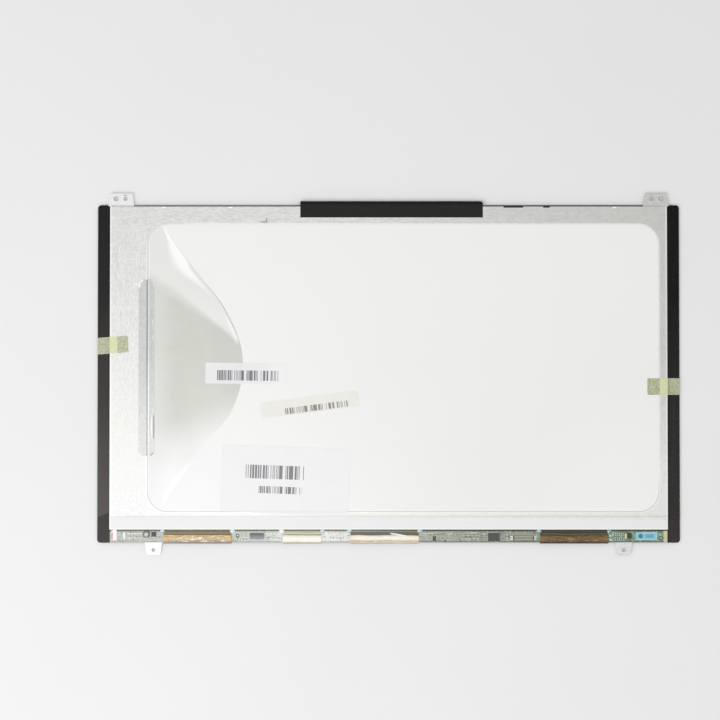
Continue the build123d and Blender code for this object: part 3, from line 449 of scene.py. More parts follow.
row_count, leaf_columns, flat_columns = 200, 54, 40
leaf_start = window_left - 1.0
film_rows, leaf_shade_marks, leaf_highlight_marks, crease_shade_marks = [], [], [], []
for j in range(row_count + 1):
    y = film_low.y + (film_high.y - film_low.y) * j / row_count
    fold = crease_x(y)
    xs = [film_low.x, film_low.x + 8.0, leaf_start - 6.0]
    xs += [leaf_start + (fold - 1.2 - leaf_start) * i / leaf_columns for i in range(leaf_columns + 1)]
    xs += [fold + gap for gap in (-0.8, -0.45, -0.2, 0.0, 0.2, 0.45, 0.8)]
    flat_run = film_high.x - fold - 0.8
    xs += [fold + 0.8 + flat_run * (i / flat_columns) ** 1.4 for i in range(1, flat_columns)]
    xs += [film_high.x - 0.2, film_high.x]
    blur = 0.12 + 2.6 * soft(-24, -56, y)
    sharp = (0.3 + 0.5 * soft(64, 40, y)) * soft(10, 30, y) * soft(90, 76, y)
    row = []
    for x in xs:
        flat = window_left + 62 < x < window_right - 2
        ripple = 0.012 * smooth_noise.noise((x / 38, y / 26, 4.0)) if flat else 0.0
        row.append((x, y, film_height(x, y) - abs(ripple)))
        on_leaf = soft(blur, -blur, x - fold) if x > leaf_start else 0.0
        leaf_shade_marks.append(on_leaf * leaf_painted_shade(x, y))
        leaf_highlight_marks.append(on_leaf * leaf_painted_highlight(x, y))
        crease_shade_marks.append(soft(0.42, 0.1, abs(x - fold)) * sharp)
    film_rows.append(row)

film = Finish("white_reflector", [], 0.24, IOR=1.5)
# Painted light: the film is painted a little lighter towards the top and the lower right, and to a middle
# tone at the lower left.
lift = larger(step(film.y, -70.0, 80.0), step(film.x, 60.0, 150.0) * step(film.y, 40.0, -60.0))
film.base(film.mottle(60.0, 2.0), (236, 236, 234), (240, 240, 238))
film.layer(lift, (242, 242, 240))
film.layer(step(film.x, -60.0, -130.0) * step(film.y, -20.0, -70.0), (238, 238, 239))
dust = step(film.mottle(1.1, 6.0), 0.7, 0.8)
film.layer(dust * 0.25, (205, 204, 198))
# Painted shade: the buckle's side is painted grey, unevenly.
painted_shade_mottle = film.mottle(7.0, 4.0, (1.4, 1, 1)) * 0.3 + 0.84
film.layer(mark_of(film, "leaf_painted_shade") * painted_shade_mottle, (206, 208, 200))
# Painted highlight beside the crease and in a streak low on the left.
film.layer(mark_of(film, "leaf_painted_highlight"), (254, 254, 253))
# Painted shade: a thin dark line along the crease.
film.layer(mark_of(film, "crease_painted_shade"), (158, 160, 152))
inward = inside_window(film)
near_left = step(film.x, window_left + 26, window_left + 12) * step(film.y, window_top - 4, window_top - 18)
near_low = step(film.y, window_low + 26, window_low + 8)
# Painted highlight just inside the window's edge, and a painted shadow line at the edge itself, on the left
# side and low down.
painted_glint = step(abs(inward - 1.1), 0.5, 0.15) * larger(near_left, near_low)
film.layer(painted_glint * 0.5, (250, 250, 249))
lip = step(inward, 0.8, 0.2) * (larger(near_left * 0.2, near_low * 0.42) + 0.05)
film.layer(lip, (150, 152, 147))
film.gloss(film.mottle(20.0, 3.0), 0.18, 0.3)
film.emboss(film.mottle(9.0, 3.0, (1, 2, 1)), 0.03)
sheet_piece("reflector_film", "reflector_sheet", film_rows, film_thickness, film,
            {"leaf_painted_shade": leaf_shade_marks, "leaf_painted_highlight": leaf_highlight_marks, "crease_painted_shade": crease_shade_marks})


# Back cover: 0.25 mm galvanised steel, pressed and folded, with a large window, a tray and four ears.
# It clips over the frame; the zinc coat has a fine spangle, wipe marks and one small dark smudge.
steel_top = film_base + 0.25
ear_root, ear_tip = glass_top_y, box_mm("back_cover")[1].y
ear_holes = ((169.8, 109.0, 1.2), (163.9, 109.0, 1.0), (146.0, -109.4, 1.0))
side_fold_x = 172.0
seam_low, seam_top = -98.4, -96.2
tape_edge = box_mm("lower_cover_tape")[1].y
smudge_bar, smudge_bar_reach = (-77.4, 94.4), (2.6, 0.5)
smudge_mast, smudge_mast_reach = (-75.9, 95.7), (0.5, 1.6)


def out_squared(x, y, middle, reach=(1.0, 1.0)):
    """Square of the distance from a middle, counted in its reach along x and y."""
    return ((x - middle[0]) / reach[0]) ** 2 + ((y - middle[1]) / reach[1]) ** 2


steel = Finish("galvanised_steel", ["back_cover"], 0.45, Metallic=0.6)
crystals = add_node(steel.tree, "TexVoronoi", {"Vector": steel.place, "Scale": 0.85}, "Color")
crystal = add_node(steel.tree, "SeparateColor", {0: crystals})
upright, level = steel.mottle(1.2, 3.0, (0.5, 2.4, 1)), steel.mottle(1.2, 3.0, (2.4, 0.5, 1))
beside = step(window_half - abs(steel.y - window_mid), -3.0, 9.0)
grain = step(upright * beside + level * (1.0 - beside), 0.3, 0.7)
grain = crystal * 0.25 + grain * 0.75
steel.base(grain, (203, 203, 200), (226, 226, 224))
wipes = step(steel.mottle(2.4, 4.0, (10, 0.6, 1)), 0.48, 0.78)
steel.layer(wipes * 0.3, (232, 232, 230))
stain = step(steel.mottle(7.0, 6.0), 0.62, 0.8)
steel.layer(stain * 0.3, (180, 179, 173))
# Painted light and shade: the steel is painted darker towards the upper right and at the lower left, and
# lighter low on the right.
to_right, high_up = step(steel.x, -60.0, 170.0), step(steel.y, -75.0, 5.0)
steel.layer(to_right * high_up * 0.45, (190, 192, 186))
low_right = to_right * (1.0 - high_up) * step(steel.y, -ear_root - 0.2, -ear_root + 0.6)
steel.layer(low_right * 0.5, (240, 240, 237))
low_left = step(steel.x, -90.0, -160.0) * step(steel.y, -40.0, -95.0)
steel.layer(low_left * 0.55, (206, 207, 209))
# Painted light: the ears are painted lighter, less so towards the right.
far_ear = step(steel.x, 60.0, 150.0) * (step(steel.y, -80.0, 80.0) * 0.35 + 0.65)
ear_painted_light = step(abs(steel.y), ear_root, ear_root + 0.4) * (0.6 - far_ear * 0.6)
steel.layer(ear_painted_light, (240, 239, 242))
smudge = larger(step(out_squared(steel.x, steel.y, smudge_bar, smudge_bar_reach), 1.5, 0.3),
                step(out_squared(steel.x, steel.y, smudge_mast, smudge_mast_reach), 1.5, 0.3))
steel.layer(smudge * 0.6, (118, 116, 104))
# Painted highlight: a pale line just outside the window's cut edge, faint at its upper left corner.
left_corner = step(steel.x, window_left + 30, window_left + 14)
left_corner = left_corner * step(steel.y, window_top - 16, window_top - 6)
cut_edge_painted_highlight = step(inside_window(steel), -0.9, -0.5) * (0.5 - left_corner * 0.45)
steel.layer(cut_edge_painted_highlight, (248, 249, 247))
# Painted shade: a dark line on the steel along the lower cover tape's upper edge.
tape_edge_painted_shade = step(steel.y, tape_edge + 0.8, tape_edge + 0.4) * step(steel.y, tape_edge - 0.2, tape_edge)
steel.layer(tape_edge_painted_shade * 0.3, (158, 158, 154))
# Painted highlight along the side folds, but not on the ears.
side_fold_painted_highlight = step(abs(steel.x), side_fold_x, side_fold_x + 0.6)
side_fold_painted_highlight = side_fold_painted_highlight * step(abs(steel.y), ear_root + 0.2, ear_root - 0.4)
steel.layer(side_fold_painted_highlight * 0.6, (246, 245, 240))
# Painted shade: a dark line along the ears' outer ends.
ear_end_painted_shade = step(abs(steel.y), ear_tip - 0.55, ear_tip - 0.15)
steel.layer(ear_end_painted_shade * 0.45, (166, 166, 168))
# Painted shade: a dark ring round each ear hole.
for hole_x, hole_y, hole_radius in ear_holes:
    out = out_squared(abs(steel.x), steel.y, (hole_x, hole_y)) ** 0.5
    steel.layer(step(out, hole_radius + 0.5, hole_radius + 0.15) * 0.7, (140, 138, 140))
# Painted highlight: the raised hook tabs are painted near white.
hook_painted_highlight = step(steel.z, steel_top + 0.03, steel_top + 0.08)
steel.layer(hook_painted_highlight, (253, 253, 252))
# Painted shadow: the tray steel in the seam above the board is painted dark, darker to the right.
seam_painted_shadow = step(steel.y, seam_low, seam_low + 0.4) * step(steel.y, seam_top, seam_top - 0.5)
seam_painted_shadow = seam_painted_shadow * step(steel.z, steel_top - 0.2, steel_top - 0.4)
seam_shadow_tone = blend(step(steel.x, -60.0, 60.0), (106, 105, 90), (58, 60, 42))
steel.layer(seam_painted_shadow, seam_shadow_tone)
steel.gloss(grain, 0.34, 0.52)
steel.emboss(grain, 0.01)


# Lower cover tape: a pale metallised polyester strip over the seam between the cover and the tray.
# It is slit from a roll, a little wider at one end, and pressed down flat.
strip = Finish("pale_strip", ["lower_cover_tape"], 0.42, Specular_IOR_Level=0.5)
strip_low, strip_high = box_mm("lower_cover_tape")
strip.base(strip.mottle(1.5, 4.0, (20, 0.7, 1)), (229, 230, 229), (238, 239, 239))
# Painted highlight along the tape's lower edge.
lower_rim_painted_highlight = step(strip.y, strip_low.y + 0.9, strip_low.y + 0.4)
strip.layer(lower_rim_painted_highlight * 0.6, (248, 247, 238))
strip.emboss(strip.mottle(8.0, 2.0, (3, 0.6, 1)), 0.03)


# Driver board: a narrow printed board of glass epoxy under green solder mask, taped down in the tray.
# Copper tracks and plated holes show through the mask. The mask and tracks are painted pale over the board's
# left half and palest near the middle, a painted glare.
plain_finish("bond_tape", ["board_bond_tape"], 0.6, 2.0, (196, 196, 190), (222, 222, 217))

board_low, board_high = box_mm("driver_board")
board_top = board_high.z
board_holes = ((-0.542 * board_high.x, board_high.y - 3.1), (0.977 * board_high.x, board_high.y - 4.6))
dark_spots = ((35.1, -103.7, 0.7), (48.0, -101.2, 0.45), (50.6, -101.3, 0.5), (-74.8, -102.0, 0.6))
shaded_films = {"driver_film_1": (92, 88, 58), "driver_film_4": (50, 50, 34)}
board = Finish("solder_mask", ["driver_board"], 0.34, Coat_Weight=0.3, Coat_Roughness=0.2)
share = (board.x - board_low.x) / (board_high.x - board_low.x)
# Painted glare: the mask and the track colour are pale on the left half, palest near the middle, and green
# further right.
board.paint(shades(share, (0.0, (164, 167, 158)), (0.24, (162, 174, 164)), (0.32, (212, 214, 210)),
                   (0.44, (216, 218, 214)), (0.56, (134, 140, 127)), (0.76, (104, 114, 94)),
                   (0.92, (74, 108, 80))))
copper = shades(share, (0.0, (192, 194, 187)), (0.24, (196, 204, 196)), (0.38, (242, 243, 240)),
                (0.56, (178, 184, 172)), (0.76, (156, 164, 144)), (0.92, (142, 178, 150)))
bare_gap = step(board.mottle(1.1, 2.0, (2.2, 0.9, 1)), 0.43, 0.36)
board.layer(bare_gap * 0.6, (66, 72, 60))
residue = step(board.mottle(2.2, 4.0, (2.4, 0.6, 1)), 0.56, 0.74) * step(share, 0.3, 0.56)
board.layer(residue * 0.6, (204, 206, 206))
level_tracks = step(board.mottle(0.45, 1.0, (18, 1, 1)), 0.5, 0.56)
upright_tracks = step(board.mottle(0.5, 1.0, (1, 8, 1)), 0.53, 0.58)
slant = add_node(board.tree, "VectorRotate", {"Vector": board.place, "Angle": 0.9}, rotation_type="Z_AXIS")
slant = add_node(board.tree, "VectorMath", {0: slant, 1: (0.2, 1.6, 1.0)}, operation="MULTIPLY")
slant = add_node(board.tree, "TexNoise", {"Vector": slant, "Scale": 1.0, "Detail": 1.0})
slant_tracks = step(slant, 0.53, 0.59)
for tracks, strength in ((level_tracks, 0.65), (upright_tracks, 0.6), (slant_tracks, 0.7)):
    board.layer(tracks * strength, copper)
vias = add_node(board.tree, "TexVoronoi", {"Vector": board.place, "Scale": 0.55})
board.layer(step(vias, 0.26, 0.2), (204, 205, 190))
# Painted shade: dark centres in the vias.
board.layer(step(vias, 0.12, 0.08), (58, 62, 52))
# Painted shade: dark discs where the board's holes are.
rounds = [(x, y, 1.3, 1.1, (52, 54, 44)) for x, y in board_holes]
rounds += [(x, y, radius + 0.1, radius - 0.2, (64, 66, 58)) for x, y, radius in dark_spots]
for x, y, outer, inner, dark in rounds:
    middle = (x, y, board_top)
    off = add_node(board.tree, "VectorMath", {0: board.place, 1: middle}, "Value", operation="DISTANCE")
    board.layer(step(off, outer, inner), dark)
top_shade = step(board.y, board_high.y - 0.8, board_high.y - 0.2)
board.layer(top_shade * 0.5, (66, 74, 54))
for node, dark in shaded_films.items():
    low, high = box_mm(node)
    half = (high.x - low.x) / 2
    behind = step(abs(board.x - (low.x + high.x) / 2), half + 0.3, half - 0.3)
    board.layer(behind * 0.85, dark)
low_shade = step(board.y, board_low.y + 0.9, board_low.y + 0.35) * (share * 0.6 + 0.3)
board.layer(low_shade, (70, 66, 70))
board.emboss(level_tracks, 0.02)


# Driver films: amber polyimide with fine copper lines, folded from the glass edge over onto the board.
# Each carries one long bare chip underneath; resin beads tack its corners.
# Light and shade on each film are painted: the ramps give its tones from the fold down, shaded at the top
# and lit on the crown, nearly white on two films. The gleams say how much painted sparkle, painted crease
# shade and orange end show.
film_tones_and_painted_light = {
    "driver_film_1": ((0.0, (90, 86, 60)), (0.1, (116, 104, 66)), (0.17, (136, 116, 66)),
                      (0.25, (106, 86, 46)), (0.33, (214, 194, 150)), (0.42, (202, 176, 124)),
                      (0.6, (206, 183, 138)), (0.74, (168, 145, 102)), (0.86, (144, 135, 126)),
                      (1.0, (120, 113, 114))),
    "driver_film_2": ((0.0, (150, 148, 138)), (0.08, (196, 192, 166)), (0.22, (206, 200, 170)),
                      (0.28, (146, 130, 94)), (0.36, (248, 245, 234)), (0.82, (251, 248, 239)),
                      (0.93, (196, 184, 168)), (1.0, (150, 140, 132))),
    "driver_film_3": ((0.0, (76, 84, 84)), (0.14, (86, 92, 88)), (0.26, (96, 92, 68)),
                      (0.35, (246, 241, 224)), (0.52, (253, 249, 237)), (0.66, (247, 238, 206)),
                      (0.79, (182, 160, 116)), (0.88, (228, 216, 200)), (1.0, (128, 118, 116))),
    "driver_film_4": ((0.0, (30, 32, 21)), (0.13, (38, 36, 20)), (0.2, (112, 96, 58)),
                      (0.26, (46, 38, 20)), (0.42, (84, 65, 30)), (0.64, (104, 80, 40)),
                      (0.84, (66, 50, 26)), (0.92, (36, 28, 27)), (1.0, (32, 27, 31))),
}
film_gleams = {
    "driver_film_1": (0.9, (254, 247, 228), 0.45, 0.55),
    "driver_film_2": (0.3, (252, 250, 244), 0.05, 0.0),
    "driver_film_3": (0.5, (253, 250, 240), 0.1, 0.1),
    "driver_film_4": (0.5, (186, 154, 100), 0.2, 0.1),
}
lines_per_mm = 1.9
for node, looks in film_tones_and_painted_light.items():
    amber = Finish("amber_" + node, [node], 0.3, Coat_Weight=0.1)
    low, high = box_mm(node)
    sparkle, sparkle_tone, fold_shade, orange_ends = film_gleams[node]
    sway = (amber.mottle(7.0, 2.0, (1.6, 0.4, 1)) - 0.5) * 1.1
    fall = (sway + high.y - amber.y) / (high.y - low.y)
    # Painted light: the tone ramp, shaded near the top and lit on the crown.
    amber.paint(shades(fall, *looks))
    on_crown = step(fall, 0.26, 0.36) * step(fall, 0.9, 0.8)
    lines = step(fract(amber.x * lines_per_mm), 0.45, 0.6)
    amber.layer(lines * 0.1, (96, 76, 46))
    crumple = amber.mottle(1.6, 4.0, (3.0, 0.5, 1))
    # Painted shade in the crumple's folds.
    folds = step(crumple, 0.5, 0.36) * on_crown
    amber.layer(folds * fold_shade, (140, 108, 60))
    # Painted highlights: streaks and specks on the crown.
    highlight_streaks = step(amber.mottle(1.2, 4.0, (4.0, 0.6, 1)), 0.52, 0.66)
    highlight_specks = step(amber.mottle(0.9, 3.0, (1.2, 0.8, 1)), 0.58, 0.68)
    amber.layer(larger(highlight_streaks, highlight_specks) * on_crown * sparkle, sparkle_tone)
    half = (high.x - low.x) / 2
    ends = step(abs(amber.x - (low.x + high.x) / 2), half - 5.0, half - 1.5) * on_crown
    amber.layer(ends * orange_ends, (220, 166, 84))
    if node == "driver_film_3":
        right = amber.x - low.x
        olive_end = step(right, 30.0, 35.0) * step(fall, 0.36, 0.3)
        amber.layer(olive_end * 0.7, (104, 82, 42))
        # Painted highlight: a white sweep across film 3's dark band.
        sweep_fall = (right - 25.0) * 0.021 + 0.16
        white_sweep_painted_highlight = step(abs(fall - sweep_fall), 0.09, 0.03) * step(abs(right - 30.0), 6.0, 4.0)
        amber.layer(white_sweep_painted_highlight, (253, 252, 246))
    amber.gloss(amber.mottle(3.0), 0.22, 0.38)
    amber.emboss(crumple, 0.12)
bare_chips = ["driver_chip_1", "driver_chip_2", "driver_chip_3", "driver_chip_4"]
plain_finish("bare_chip", bare_chips, 0.12, 1.0, (48, 48, 54), (64, 64, 72))


def piece_from(work, name, finish, bevel=0.0):
    """Makes the piece from a mesh in work, with its edges rounded by so many millimetres."""
    if bevel:
        bmesh.ops.bevel(work, geom=work.edges[:], offset=bevel * mm, segments=2, affect="EDGES", profile=0.5)
    bmesh.ops.recalc_face_normals(work, faces=work.faces)
    mesh = bpy.data.meshes.new(name)
    work.to_mesh(mesh)
    work.free()
    put_in_scene(name, mesh, finish)


def solids_of(node):
    """Boxes in millimetres of the separate solids in a CAD node."""
    work = bmesh.new()
    work.from_mesh(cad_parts[node].data)
    bmesh.ops.remove_doubles(work, verts=work.verts, dist=1e-7)
    waiting, boxes = set(work.verts), []
    while waiting:
        reached, solid = [waiting.pop()], []
        while reached:
            vertex = reached.pop()
            solid.append(vertex.co / mm)
            for edge in vertex.link_edges:
                other = edge.other_vert(vertex)
                if other in waiting:
                    waiting.remove(other)
                    reached.append(other)
        low = [min(co[axis] for co in solid) for axis in range(3)]
        boxes.append((low, [max(co[axis] for co in solid) for axis in range(3)]))
    work.free()
    return sorted(boxes)


resin = Finish("corner_resin", ["film_corner_resin"], 0.12, Coat_Weight=0.5)
share = (resin.x - board_low.x) / (board_high.x - board_low.x)
# Painted glare: the beads are palest round glare_middle; they are also a darker teal towards the right.
resin.paint(shades(share, (0.0, (206, 230, 232)), (0.2, (206, 230, 232)), (0.24, (238, 243, 242)),
                   (0.33, (238, 243, 242)), (0.38, (206, 228, 232)), (0.62, (184, 210, 220)),
                   (0.9, (104, 146, 146))))
glare_middle = 0.285
# Painted shade: teal on the beads' lower part, away from the glare.
teal_painted_shade = step(resin.y, board_high.y + 0.4, board_high.y - 1.2) * step(abs(share - glare_middle), 0.05, 0.09)
resin.layer(teal_painted_shade * 0.6, (96, 136, 136))
# Painted highlights: pale patches over the beads.
resin.layer(step(resin.mottle(0.9), 0.5, 0.7), (236, 246, 247))
resin.emboss(resin.mottle(0.8), 0.06)
bead_reach, bead_rings, bead_sides = (1.75, 1.5), 6, 20
beads = bmesh.new()
for bead, (low, high) in enumerate(solids_of("film_corner_resin")):
    middle = ((low[0] + high[0]) / 2, board_high.y - 0.1)
    size = 0.85 + 0.3 * abs(smooth_noise.noise((bead * 1.7, 2.0, 5.0)))
    rise = strip_high.z - board_top + 0.06 * size
    rings = []
    for k in range(bead_rings):
        lean_in = 0.5 * math.pi * k / bead_rings
        ring = []
        for i in range(bead_sides):
            turn = 2 * math.pi * i / bead_sides
            wobble = size * (1 + 0.16 * smooth_noise.noise((math.cos(turn), math.sin(turn), bead * 3.1)))
            x = middle[0] + bead_reach[0] * wobble * math.cos(turn) * math.cos(lean_in)
            y = middle[1] + bead_reach[1] * wobble * math.sin(turn) * math.cos(lean_in)
            ring.append(beads.verts.new(Vector((x, y, board_top + rise * math.sin(lean_in))) * mm))
        rings.append(ring)
    crest = beads.verts.new(Vector((*middle, board_top + rise)) * mm)
    beads.faces.new(rings[0][::-1])
    for i in range(bead_sides):
        after = (i + 1) % bead_sides
        for k in range(bead_rings - 1):
            corners = (rings[k][i], rings[k][after], rings[k + 1][after], rings[k + 1][i])
            beads.faces.new(corners).smooth = True
        beads.faces.new((rings[-1][i], rings[-1][after], crest)).smooth = True
piece_from(beads, "resin_beads", resin)


# Moulded packages: black epoxy blocks soldered to the board, the larger ones with tinned leads round them.
# Their tops are bare, with only the grain of the mould.
plain_finish("moulded_package", ["timing_controller", "backlight_driver_chip", "memory_chip"], 0.48, 0.6,
             (52, 54, 49), (84, 87, 79), detail=4.0, grain=(0.12, 0.008))
tin = plain_finish("tinned_metal", [], 0.3, 0.3, (206, 206, 200), (242, 242, 238), grain=(0.25, 0.01),
                   Metallic=0.7)


def add_solid(work, points, sides):
    """Adds points in millimetres to a mesh being made, and the sides between them."""
    made = [work.verts.new(Vector(point) * mm) for point in points]
    for side in sides:
        work.faces.new([made[i] for i in side])


def block(work, low, high):
    """Adds a box to a mesh being made, between two corners in millimetres."""
    points = [(x, y, z) for z in (low[2], high[2]) for y in (low[1], high[1]) for x in (low[0], high[0])]
    sides = ((0, 2, 3, 1), (4, 5, 7, 6), (0, 1, 5, 4), (2, 6, 7, 3), (0, 4, 6, 2), (1, 3, 7, 5))
    add_solid(work, points, sides)


lead_pitches = {"timing_controller": 0.5, "memory_chip": 0.65, "backlight_driver_chip": 0.5}
lead_half, lead_in, lead_out, lead_height = 0.12, 0.1, 0.32, 0.14
leads = bmesh.new()
for node, pitch in lead_pitches.items():
    low, high = box_mm(node)
    for axis in (0, 1):
        count = int((high[axis] - low[axis] - 0.6) / pitch)
        first = (high[axis] + low[axis]) / 2 - (count - 1) * pitch / 2
        for i in range(count):
            spot = first + i * pitch
            for edge, way in ((low[1 - axis], -1), (high[1 - axis], 1)):
                a, b = sorted((edge - lead_in * way, edge + lead_out * way))
                corners = [(spot - lead_half, a), (spot + lead_half, b)]
                if axis == 1:
                    corners = [corner[::-1] for corner in corners]
                block(leads, (*corners[0], board_top), (*corners[1], board_top + lead_height))
piece_from(leads, "package_leads", tin, 0.03)

power = Finish("power_package", ["power_chip"], 0.46)
low, high = box_mm("power_chip")
lead_start = (high.y - low.y) / 2 - 0.8
on_lead = step(abs(power.y - (low.y + high.y) / 2), lead_start - 0.02, lead_start + 0.02)
# Painted glare: the black package is painted from dark at its top to pale grey towards its lower edge.
power.base(step(power.y, high.y - 0.4, low.y + 0.8), (78, 82, 78), (158, 158, 166))
power.layer(power.mottle(0.6, 4.0) * 0.4, (112, 114, 116))
power.layer(on_lead, (214, 214, 210))
power.emboss(power.mottle(0.12), 0.008)


# Backlight inductor: a square ferrite block with a coil wound in its round well.
# The block is pressed and fired, and the copper coil is potted with a pale compound.
ferrite = Finish("ferrite", ["backlight_inductor"], 0.5)
low, high = box_mm("backlight_inductor")
well = ((low.x + high.x) / 2, (low.y + high.y) / 2)
in_well = step(out_squared(ferrite.x, ferrite.y, well) ** 0.5, 1.45, 1.2)
ferrite.base(ferrite.mottle(0.4), (86, 86, 86), (124, 124, 122))
ferrite.layer(in_well, (214, 213, 210))
coil_radii, wire, turn_steps, roll_steps = (1.25, 0.95, 0.65), 0.1, 28, 8
coil = bmesh.new()
for coil_radius in coil_radii:
    ring = []
    for i in range(turn_steps):
        turn = 2 * math.pi * i / turn_steps
        for j in range(roll_steps):
            roll = 2 * math.pi * j / roll_steps
            far = coil_radius + wire * math.cos(roll)
            x, y = well[0] + far * math.cos(turn), well[1] + far * math.sin(turn)
            ring.append(coil.verts.new(Vector((x, y, high.z + wire * math.sin(roll))) * mm))
    for i in range(turn_steps):
        a, b = i * roll_steps, (i + 1) % turn_steps * roll_steps
        for j in range(roll_steps):
            after = (j + 1) % roll_steps
            coil.faces.new((ring[a + j], ring[b + j], ring[b + after], ring[a + after]))
coil_wire = plain_finish("coil_wire", [], 0.35, 0.5, (182, 172, 160), (222, 216, 208), Metallic=0.4)
piece_from(coil, "inductor_coil", coil_wire)


# Tantalum capacitor and fuse: small moulded blocks with tinned ends, soldered down by reflow.
# The capacitor's pale band marks its positive end; the fuse is a white ceramic bar.
tantalum = Finish("tantalum_case", ["tantalum_capacitor"], 0.42)
band_end = box_mm("tantalum_capacitor")[0].x + 1.3
tantalum.base(tantalum.mottle(0.6), (44, 34, 28), (76, 56, 44))
pale = blend(tantalum.mottle(0.6), (208, 186, 166), (228, 210, 194))
tantalum.layer(step(tantalum.x, band_end, band_end - 0.15), pale)
plain_finish("fuse_ceramic", ["board_fuse"], 0.4, 0.7, (236, 236, 233), (247, 247, 245))


# Chip capacitors and resistors: fired ceramic blocks with tinned end caps, in rows along the board.
# Solder runs up each end in a small fillet.
def wedge(work, low, high, side):
    """Adds a solder fillet between two corners: full height at one side, nothing at the other."""
    near, far = (high[0], low[0]) if side < 0 else (low[0], high[0])
    points = [(near, low[1], low[2]), (far, low[1], low[2]), (near, low[1], high[2])]
    points += [(x, high[1], z) for x, _, z in points]
    add_solid(work, points, ((0, 1, 2), (3, 5, 4), (0, 3, 4, 1), (1, 4, 5, 2), (2, 5, 3, 0)))


plain_finish("capacitor_clay", ["chip_capacitors"], 0.4, 1.5, (172, 162, 138), (214, 206, 182))
plain_finish("resistor_glaze", ["chip_resistors"], 0.3, 0.8, (40, 42, 42), (64, 66, 64))
cap_skin, fillet_reach, fillet_share = 0.02, 0.28, 0.6
small_parts = []
for node, cap, name in (("chip_capacitors", 0.3, "capacitor"), ("chip_resistors", 0.24, "resistor")):
    ends, fillets = bmesh.new(), bmesh.new()
    chips = solids_of(node)
    small_parts += chips
    for low, high in chips:
        for edge, way in ((low[0], -1), (high[0], 1)):
            a, b = sorted((edge + cap_skin * way, edge - cap * way))
            block(ends, (a, low[1] - cap_skin, board_top), (b, high[1] + cap_skin, high[2] + cap_skin))
            a, b = sorted((edge + 0.01 * way, edge + fillet_reach * way))
            fillet_top = board_top + fillet_share * (high[2] - board_top)
            wedge(fillets, (a, low[1], board_top), (b, high[1], fillet_top), way)
    piece_from(ends, name + "_ends", tin, 0.03)
    piece_from(fillets, name + "_solder", tin)


# Solder lands: tinned copper pads left open in the solder mask, between and beside the parts.
# They are printed with paste and levelled by reflow, so each is a low pillow of tin.
land_sizes = ((0.22, 0.3), (0.3, 0.22), (0.45, 0.3), (0.3, 0.5), (0.18, 0.18))
land_height, land_count, land_tries, clear_gap = 0.05, 263, 1500, 0.36
hole_keepout = 1.4
pad_start = box_mm("driver_film_4")[1].x
fixed_pads = ((1.4, 3.0, 0.5, 0.45), (3.0, 2.5, 0.35, 0.6), (1.6, 5.7, 0.75, 0.4))
taken = small_parts + solids_of("film_corner_resin")
for node in ("timing_controller", "power_chip", "memory_chip", "backlight_driver_chip", "backlight_inductor",
             "tantalum_capacitor", "board_fuse", "connector_shell", "connector_housing", "board_sticker",
             "board_end_tape", "light_bar_flex", *film_tones_and_painted_light):
    taken.append(box_mm(node))
for x, y in board_holes:
    taken.append(((x - hole_keepout, y - hole_keepout), (x + hole_keepout, y + hole_keepout)))
lands, land_boxes = bmesh.new(), []


def add_land(x, y, half_x, half_y):
    """Adds one solder land to the mesh and to the list of places taken."""
    low, high = (x - half_x, y - half_y), (x + half_x, y + half_y)
    land_boxes.append((low, high))
    block(lands, (*low, board_top), (*high, board_top + land_height))


for right, down, half_x, half_y in fixed_pads:
    add_land(pad_start + right, board_high.y - down, half_x, half_y)
chance = random.Random(11)
for _ in range(land_tries):
    x = chance.uniform(board_low.x + 1, board_high.x - 3)
    y = chance.uniform(board_low.y + 0.7, board_high.y - 1.2)
    half_x, half_y = chance.choice(land_sizes)
    reach_x, reach_y = half_x + clear_gap, half_y + clear_gap
    if not any(low[0] - reach_x < x < high[0] + reach_x and low[1] - reach_y < y < high[1] + reach_y
               for low, high in taken + land_boxes):
        add_land(x, y, half_x, half_y)
    if len(land_boxes) == land_count:
        break
piece_from(lands, "solder_lands", tin, 0.02)


# Signal connector: a low moulded socket with plated contacts, held down by a pressed steel shell.
# The flat cable plug slides in from the lower edge; contact tails and end tabs are soldered to the board.
plain_finish("socket_plastic", ["connector_housing"], 0.45, 0.8, (132, 134, 118), (166, 168, 150))
plain_finish("plated_contact", ["connector_contacts"], 0.28, 0.4, (222, 188, 112), (240, 216, 150),
             Metallic=0.9)
shell = Finish("socket_shell", ["connector_shell"], 0.36, Metallic=0.6)
low, high = box_mm("connector_shell")
grooves_per_mm = 0.7
grooves = fract((shell.y - low.y) * grooves_per_mm)
shell.base(shell.mottle(0.9, 4.0, (4, 1, 1)), (116, 121, 104), (148, 153, 135))
# Painted highlight and shade: a light and a dark line on each groove.
shell.layer(step(grooves, 0.5, 0.6), (196, 200, 184))
shell.layer(step(grooves, 0.74, 0.82), (84, 88, 74))
from_end = (high.x - low.x) / 2 - abs(shell.x - (low.x + high.x) / 2)
shell.layer(step(from_end, 1.6, 1.4) * 0.8, (66, 70, 58))
shell.layer(step(from_end, 0.7, 0.55), (206, 210, 196))
shell.emboss(grooves, 0.05)
tail_length, tail_height, tab_reach, tab_width, tab_height = 0.45, 0.12, 0.9, 0.9, 0.14
socket_back = box_mm("connector_housing")[1].y
tails = bmesh.new()
for contact_low, contact_high in solids_of("connector_contacts"):
    block(tails, (contact_low[0], socket_back - 0.05, board_top),
          (contact_high[0], socket_back + tail_length, board_top + tail_height))
for way, edge in ((-1, low.x), (1, high.x)):
    for tab_y in (low.y + 0.4, low.y + 1.9):
        a, b = sorted((edge - 0.05 * way, edge + tab_reach * way))
        block(tails, (a, tab_y, board_top), (b, tab_y + tab_width, board_top + tab_height))
piece_from(tails, "connector_tails", tin, 0.03)


